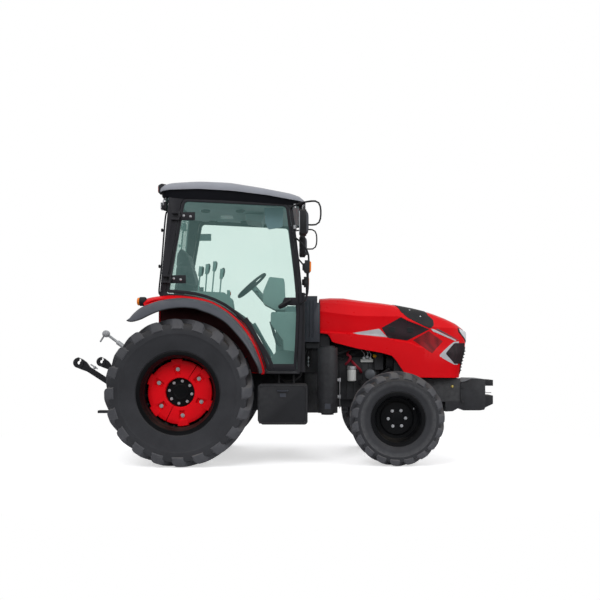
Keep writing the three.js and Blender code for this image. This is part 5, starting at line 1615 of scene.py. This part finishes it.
def door_arch_seal(side_name):
    """Rubber along the arched lower edge of the door's glass."""
    on = beside(SIDES[side_name])
    line = smooth_line([(596, 1372, 0), (636, 1306, 0), (712, 1168, 0), (790, 1040, 0), (832, 950, 0),
                        (852, 900, 0)], 8)
    rings = []
    for i, p in enumerate(line):
        way = (line[min(i + 1, len(line) - 1)] - line[max(i - 1, 0)]).normalized()
        aside = Vector((-way.y, way.x, 0)) * 17
        rings.append([on((p + aside * s).x, y, (p + aside * s).y)
                      for s, y in ((-1, 607), (-1, 621), (1, 621), (1, 607))])
    make(f"door_arch_seal_{side_name}", Shape().rings(rings), "cab", f"door_{side_name}", bevel=2.0)


for each in SIDES:
    door_arch_seal(each)
    cab_side(each)
    tail_lamp_housing(each)
    signal_bar(each)
    mirror_details(each)


# ---------------------------------------------------------------- inside the cab


def dash_panels():
    """Lining beside the dash, cover over the gear tunnel and the floor's mat."""
    panels = Shape()
    outline = [(820, 1446), (818, 1330), (940, 1165), (944, 1070), (1090, 1058), (1104, 1446)]
    for side in SIDES.values():
        panels.prism(rounded(outline, [20, 30, 30, 16, 8, 8]), side * 284, side * 304)
    make("dash_side_panels", panels, "teal", bevel=4.0)
    mound = Shape()
    mound.prism(rounded([(800, 876), (822, 1004), (868, 1058), (940, 1070), (1092, 1056), (1096, 876)],
                        [6, 26, 30, 20, 10, 6]), -120, 120)
    make("gear_tunnel_cover", mound, "teal", bevel=16.0)
    make("floor_mat", Shape().box((770, -440, 874), (1092, 440, 881)), "plastic", bevel=3.0)


def pedals():
    """Three hanging pedals with ribbed pads."""
    for name, y, swing in (("brake_pedal", -190, 0), ("throttle_pedal", -262, 20), ("clutch_pedal", 196, 4)):
        arm = Shape()
        arm.tube(smooth_line([at(812, y, 1352), at(830, y, 1290), at(856, y, 1200),
                              at(874 + swing, y, 1132)], 6), 9, 12)
        pad = [(858 + swing, 1152), (866 + swing, 1158), (908 + swing, 1112), (900 + swing, 1106)]
        arm.prism(rounded(pad, 3), y - 34, y + 34)
        for k in range(5):
            d = 8 * k + 5
            arm.box((858 + swing + d - 2, y - 28, 1150 - d), (858 + swing + d + 2, y + 28, 1155 - d))
        make(name, arm, "cab", bevel=1.5)


def cab_overhead():
    """Sun visor, vents, lamp and console under the roof."""
    visor = Shape()
    visor.prism(rounded([(762, 2438), (772, 2300), (800, 2226), (940, 2250), (947, 2438)],
                        [8, 20, 26, 26, 8]), -470, -462)
    make("sun_visor_right", visor, "visor", bevel=2.0)
    vents = Shape()
    for x in (180, 520):
        for y in (-300, 300):
            vents.tube([at(x, y, 2446), at(x, y, 2432), at(x, y, 2426)], [46, 46, 38], 24)
    make("ceiling_vents", vents, "plastic", bevel=2.0)
    make("ceiling_lamp", Shape().box((300, -60, 2424), (420, 60, 2440)), "lamp", bevel=8.0)
    radio = Shape().prism(rounded([(560, 2440), (560, 2380), (720, 2350), (760, 2440)], 10), -150, 150)
    make("overhead_console", radio, "liner", bevel=8.0)


def levers():
    """Grips of the four levers and two round knobs."""
    knobs = Shape()
    for x, z in ((152, 1842), (214, 1868), (282, 1893), (357, 1828)):
        rings = [at(x + t * 4, -350, z + t * 46) for t in (-1, -0.86, -0.5, 0, 0.5, 0.86, 1)]
        knobs.tube(rings, [7, 12, 15, 18, 19, 14, 3], 18)
    make("lever_grips", knobs, "cab", bevel=0.8)
    small = Shape()
    small.tube([at(415, -350, 1596), at(415, -350, 1604), at(415, -350, 1612), at(415, -350, 1634),
                at(415, -350, 1642)], [8, 14, 19, 19, 12], 22)
    make("throttle_knob", small, "orange", bevel=1.0)
    # the red knob takes the lens material, painted glow included
    red = Shape().tube([at(772, -120, 1536), at(772, -146, 1536), at(772, -152, 1536)], [10, 16, 10], 18)
    make("dash_knob", red, "ruby", bevel=1.0)


COLUMN_TILT = 41


def steering_trim():
    """The wheel's boss and the stalks under it."""
    centre = middle("steering_wheel")
    tilt = math.radians(COLUMN_TILT)
    axis = Vector((-math.sin(tilt), 0, math.cos(tilt)))
    across = Vector((math.cos(tilt), 0, math.sin(tilt)))
    sideways = Vector((0, 1, 0))
    boss = Shape()
    boss.tube([centre - axis * 0.03, centre + axis * 0.004, centre + axis * 0.022,
               centre + axis * 0.028], [40, 54, 50, 30], 28)
    make("steering_boss", boss, "cab", "steering_wheel", bevel=2.0)
    stalks = Shape()
    start = centre - axis * 0.09
    for s in (-1, 1):
        out = sideways * s
        stalks.tube(smooth_line([start, start + out * 0.07, start + out * 0.15 - across * 0.01,
                                 start + out * 0.19 - across * 0.005], 6), 7, 12)
    make("steering_stalks", stalks, "plastic", bevel=0.5)


def hitch_trims():
    """Cheeks, sleeves and pins of the linkage."""
    for side_name, side in SIDES.items():
        on = beside(side)
        cheeks = Shape()
        for y0, y1 in ((386.5, 380), (413.5, 420)):
            count = 36
            outer, inner = [], []
            for k in range(count + 1):
                a = math.radians(84 + 300 * k / count)
                outer.append((-1036 + 50 * math.cos(a), 948 + 50 * math.sin(a)))
                inner.append((-1036 + 17 * math.cos(a), 948 + 17 * math.sin(a)))
            rings = [[on(ox, y0, oz), on(ox, y1, oz), on(ix, y1, iz), on(ix, y0, iz)]
                     for (ox, oz), (ix, iz) in zip(outer, inner)]
            cheeks.rings(rings)
        make(f"lower_link_claw_{side_name}", cheeks, "iron", "lower_links", bevel=1.5)
        latch = Shape()
        place = on(-900, 400, 872)
        way = Vector((math.cos(math.radians(147.3)), 0, math.sin(math.radians(147.3))))
        up = Vector((math.sin(math.radians(32.7)), 0, math.cos(math.radians(32.7))))
        latch.tube([place + up * 0.022, place + up * 0.046, place + up * 0.05], [13, 13, 8], 18)
        latch.tube([place + up * 0.04 - way * 0.03, place + up * 0.04 + way * 0.05], 7, 12)
        make(f"lower_link_latch_{side_name}", latch, "steel", "lower_links", bevel=0.8)
        make(f"lower_link_pin_head_{side_name}",
             Shape().bolt(on(-230, 413, 430), Vector((0, side, 0)), 19, 12), "steel", "root", bevel=0.8)


dash_panels()
pedals()
cab_overhead()
levers()
steering_trim()
hitch_trims()


# ---------------------------------------------------------------- seat padding


def evaluated(piece):
    """The piece's mesh with its modifiers carried out."""
    return bpy.data.meshes.new_from_object(piece.evaluated_get(bpy.context.evaluated_depsgraph_get()))


PAD_SHRINK = 0.955
PAD_VOXEL = 6 * MM
PAD_PRESSURE = 4.0
PAD_FRAMES = 20
SEAM_DEPTH = 6 * MM
SEAM_WIDTH = 11 * MM


def stuffed(node, axis, seams, cap=24 * MM):
    """A seat pad: the plain solid drawn in a little, blown up as cloth, then sewn across."""
    source = NODES[node]
    corners = [source.matrix_world @ v.co for v in source.data.vertices]
    centre = sum(corners, Vector()) / len(corners)
    shape = Shape()
    shape.add([centre + (c - centre) * PAD_SHRINK for c in corners],
              [list(face.vertices) for face in source.data.polygons])
    piece = make(f"{node}_padding", shape, "cloth", stands_for=(node,))
    grid = piece.modifiers.new("grid", "REMESH")
    grid.mode = "VOXEL"
    grid.voxel_size = PAD_VOXEL
    piece.data = evaluated(piece)
    piece.modifiers.clear()
    mesh = piece.data
    flat = [v.co.copy() for v in mesh.vertices]
    cloth = piece.modifiers.new("stuffing", "CLOTH")
    cloth.settings.use_pressure = True
    cloth.settings.uniform_pressure_force = PAD_PRESSURE
    cloth.settings.effector_weights.gravity = 0.0
    for frame in range(1, PAD_FRAMES + 1):
        bpy.context.scene.frame_set(frame)
    blown = evaluated(piece)
    for v, start, swollen in zip(mesh.vertices, flat, blown.vertices):
        move = swollen.co - start
        v.co = start + move * min(1.0, cap / max(move.length, 1e-9))
    piece.modifiers.clear()
    bpy.data.meshes.remove(blown)
    bpy.context.scene.frame_set(1)
    spots = [v.co[axis] for v in mesh.vertices]
    low, high = min(spots), max(spots)
    normals = [v.normal.copy() for v in mesh.vertices]
    for v, normal in zip(mesh.vertices, normals):
        for share in seams:
            off = (v.co[axis] - low - (high - low) * share) / SEAM_WIDTH
            v.co -= normal * SEAM_DEPTH * math.exp(-off * off)
    mesh.shade_smooth()
    piece.modifiers.new("round", "SUBSURF").levels = 1
    return piece


stuffed("seat_cushion", 0, (0.3, 0.64))
stuffed("seat_back", 2, (0.28, 0.52, 0.76))


# ---------------------------------------------------------------- plain CAD nodes

CAD_LOOKS = {
    "iron": ["engine", "gearbox", "rear_axle", "front_frame", "front_weight", "front_axle",
             "exhaust_muffler", "drawbar", "lift_arms"],
    "plastic": ["battery_box", "fuel_tank", "cab_floor", "seat_base", "steering_wheel", "grille"],
    "teal": ["steering_console", "side_console"],
    "cab": ["cab_frame"],
    "cowl": ["cowl"],
    "roof": ["cab_roof"],
    "red": ["hood"],
    "glass": ["windshield", "rear_window"],
    "cloth": ["seat_cushion", "seat_back"],
    "steel": ["top_link"],
}
PAIRS = {"knuckle": "iron", "lower_link": "iron", "lift_rod": "steel", "door": "cab",
         "door_glass": "glass", "fender": "red", "fender_flare": "flare", "mirror": "plastic",
         "signal_bar": "plastic"}
for pair_name, pair_look in PAIRS.items():
    CAD_LOOKS.setdefault(pair_look, []).extend(f"{pair_name}_{each}" for each in SIDES)


def smooth_group(angle=38):
    """Modifier nodes that smooth a faceted mesh and keep its real edges sharp."""
    group = bpy.data.node_groups.new("smooth_by_angle", "GeometryNodeTree")
    group.is_modifier = True
    for way in ("INPUT", "OUTPUT"):
        group.interface.new_socket("Geometry", in_out=way, socket_type="NodeSocketGeometry")
    start = group.nodes.new("NodeGroupInput")
    end = group.nodes.new("NodeGroupOutput")
    faces = group.nodes.new("GeometryNodeSetShadeSmooth")
    edges = group.nodes.new("GeometryNodeSetShadeSmooth")
    edges.domain = "EDGE"
    edges.inputs["Shade Smooth"].default_value = False
    bend = group.nodes.new("GeometryNodeInputMeshEdgeAngle")
    sharp = group.nodes.new("FunctionNodeCompare")
    sharp.operation = "GREATER_THAN"
    sharp.inputs[1].default_value = math.radians(angle)
    link = group.links.new
    link(start.outputs[0], faces.inputs["Geometry"])
    link(faces.outputs[0], edges.inputs["Geometry"])
    link(bend.outputs["Unsigned Angle"], sharp.inputs[0])
    link(sharp.outputs[0], edges.inputs["Selection"])
    link(edges.outputs[0], end.inputs[0])
    return group


SMOOTH = smooth_group()
EDGE_WIDTHS = {"glass": 0.6, "cab": 3.0, "plastic": 5.0, "iron": 4.0, "cloth": 10.0}


def dress(node, look):
    """A CAD node that stays as it is: its material, its softened edges and smooth faces."""
    piece = NODES[node]
    piece.data.materials.clear()
    piece.data.materials.append(LOOKS[look][0])
    piece.modifiers.new("joined", "WELD").merge_threshold = 2e-5
    soften(piece, EDGE_WIDTHS.get(look, 2.0), 38)
    piece.modifiers["soft_edges"].harden_normals = False
    piece.modifiers["soft_edges"].use_clamp_overlap = True
    piece.modifiers.new("smooth", "NODES").node_group = SMOOTH


REPLACED = set(sum((list(o.get("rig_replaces", [])) for o in bpy.data.objects), []))
for cad_look, cad_nodes in CAD_LOOKS.items():
    for cad_node in cad_nodes:
        if cad_node not in REPLACED:
            dress(cad_node, cad_look)


# ---------------------------------------------------------------- stage, light and camera

# half the floor's width in metres; where its grey starts and ends, as squares of a stretched
# distance from the middle; and how bright it is at the start
FLOOR_REACH = 40.0
FLOOR_FADE = (0.4, 1.6)
FLOOR_LIFT = 0.55
# name, place, width, power, aim
LAMPS = [
    ("key", (-3.0, -6.5, 7.0), 5.0, 300.0, (0, 0, 1.0)),
    ("fill", (5.5, -4.5, 4.0), 4.0, 110.0, (0.4, 0, 1.0)),
    ("back", (1.0, 6.5, 6.0), 5.0, 180.0, (0, 0, 1.2)),
]


def sky():
    """White behind the tractor, and a softer grey light from it."""
    world = bpy.data.worlds.new("studio")
    bpy.context.scene.world = world
    world.use_nodes = True
    tree = world.node_tree
    back = tree.nodes["Background"]
    back.inputs["Color"].default_value = (1, 1, 1, 1)
    seen = tree.nodes.new("ShaderNodeLightPath")
    either = tree.nodes.new("ShaderNodeMath")
    either.operation = "MAXIMUM"
    strength = tree.nodes.new("ShaderNodeMapRange")
    strength.inputs["To Min"].default_value = 0.55
    strength.inputs["To Max"].default_value = 1.0
    link = tree.links.new
    link(seen.outputs["Is Camera Ray"], either.inputs[0])
    link(seen.outputs["Is Transmission Ray"], either.inputs[1])
    link(either.outputs[0], strength.inputs["Value"])
    link(strength.outputs[0], back.inputs["Strength"])


def floor():
    """A floor that is pale near the tractor and as white as the sky further out."""
    floor_mesh = bpy.data.meshes.new("floor")
    corners = [(FLOOR_REACH * x, FLOOR_REACH * y, 0) for x, y in ((-1, -1), (1, -1), (1, 1), (-1, 1))]
    floor_mesh.from_pydata(corners, [], [[0, 1, 2, 3]])
    ground = bpy.data.objects.new("floor", floor_mesh)
    bpy.context.scene.collection.objects.link(ground)
    paint = bpy.data.materials.new("floor_paint")
    nodes = Nodes(paint)
    nodes.shader.inputs["Base Color"].default_value = (0.86, 0.86, 0.87, 1)
    nodes.shader.inputs["Roughness"].default_value = 0.9
    nodes.shader.inputs["Specular IOR Level"].default_value = 0.0
    nodes.shader.inputs["Emission Color"].default_value = (1, 1, 1, 1)
    ray = nodes.add("ShaderNodeLightPath").outputs["Is Camera Ray"]
    spot = nodes.add("ShaderNodeSeparateXYZ")
    nodes.link(nodes.add("ShaderNodeTexCoord").outputs["Object"], spot.inputs[0])
    squares = []
    for axis, reach_out in (("X", 0.30), ("Y", 0.42)):
        scaled = nodes.add("ShaderNodeMath", operation="MULTIPLY")
        scaled.inputs[1].default_value = reach_out
        nodes.link(spot.outputs[axis], scaled.inputs[0])
        squares.append(nodes.times(scaled.outputs[0], scaled.outputs[0]))
    apart = nodes.add("ShaderNodeMath", operation="ADD")
    for square, slot in zip(squares, apart.inputs):
        nodes.link(square, slot)
    far = nodes.ranged(apart.outputs[0], *FLOOR_FADE, FLOOR_LIFT, 1.0)
    nodes.link(nodes.times(far, ray), nodes.shader.inputs["Emission Strength"])
    near = nodes.ranged(apart.outputs[0], *FLOOR_FADE, 0.0, 1.0)
    nodes.link(nodes.mix(near, linear((238, 238, 240)), [0.0, 0.0, 0.0, 1.0]),
               nodes.shader.inputs["Base Color"])
    floor_mesh.materials.append(paint)


def lamps():
    """Round soft lamps, each turned to face its aim."""
    for name, place, size, power, aim in LAMPS:
        data = bpy.data.lights.new(name, "AREA")
        data.shape = "DISK"
        data.size = size
        data.energy = power
        lamp = bpy.data.objects.new(name, data)
        lamp.location = place
        lamp.rotation_mode = "QUATERNION"
        lamp.rotation_quaternion = (Vector(aim) - Vector(place)).to_track_quat("-Z", "Y")
        lamp.visible_glossy = name == "fill"
        bpy.context.scene.collection.objects.link(lamp)


def camera():
    """Level with the hood, square to the right side."""
    data = bpy.data.cameras.new("camera")
    data.lens = 43.3
    data.sensor_width = 36.0
    data.shift_x = 0.0008
    data.shift_y = 0.0883
    data.clip_end = 200.0
    eye = bpy.data.objects.new("camera", data)
    eye.location = at(1102, -7390, 1043)
    eye.rotation_mode = "QUATERNION"
    eye.rotation_quaternion = Vector((0, 1, 0)).to_track_quat("-Z", "Y")
    bpy.context.scene.collection.objects.link(eye)
    bpy.context.scene.camera = eye


sky()
floor()
lamps()
camera()
bpy.context.scene.view_settings.view_transform = "Standard"
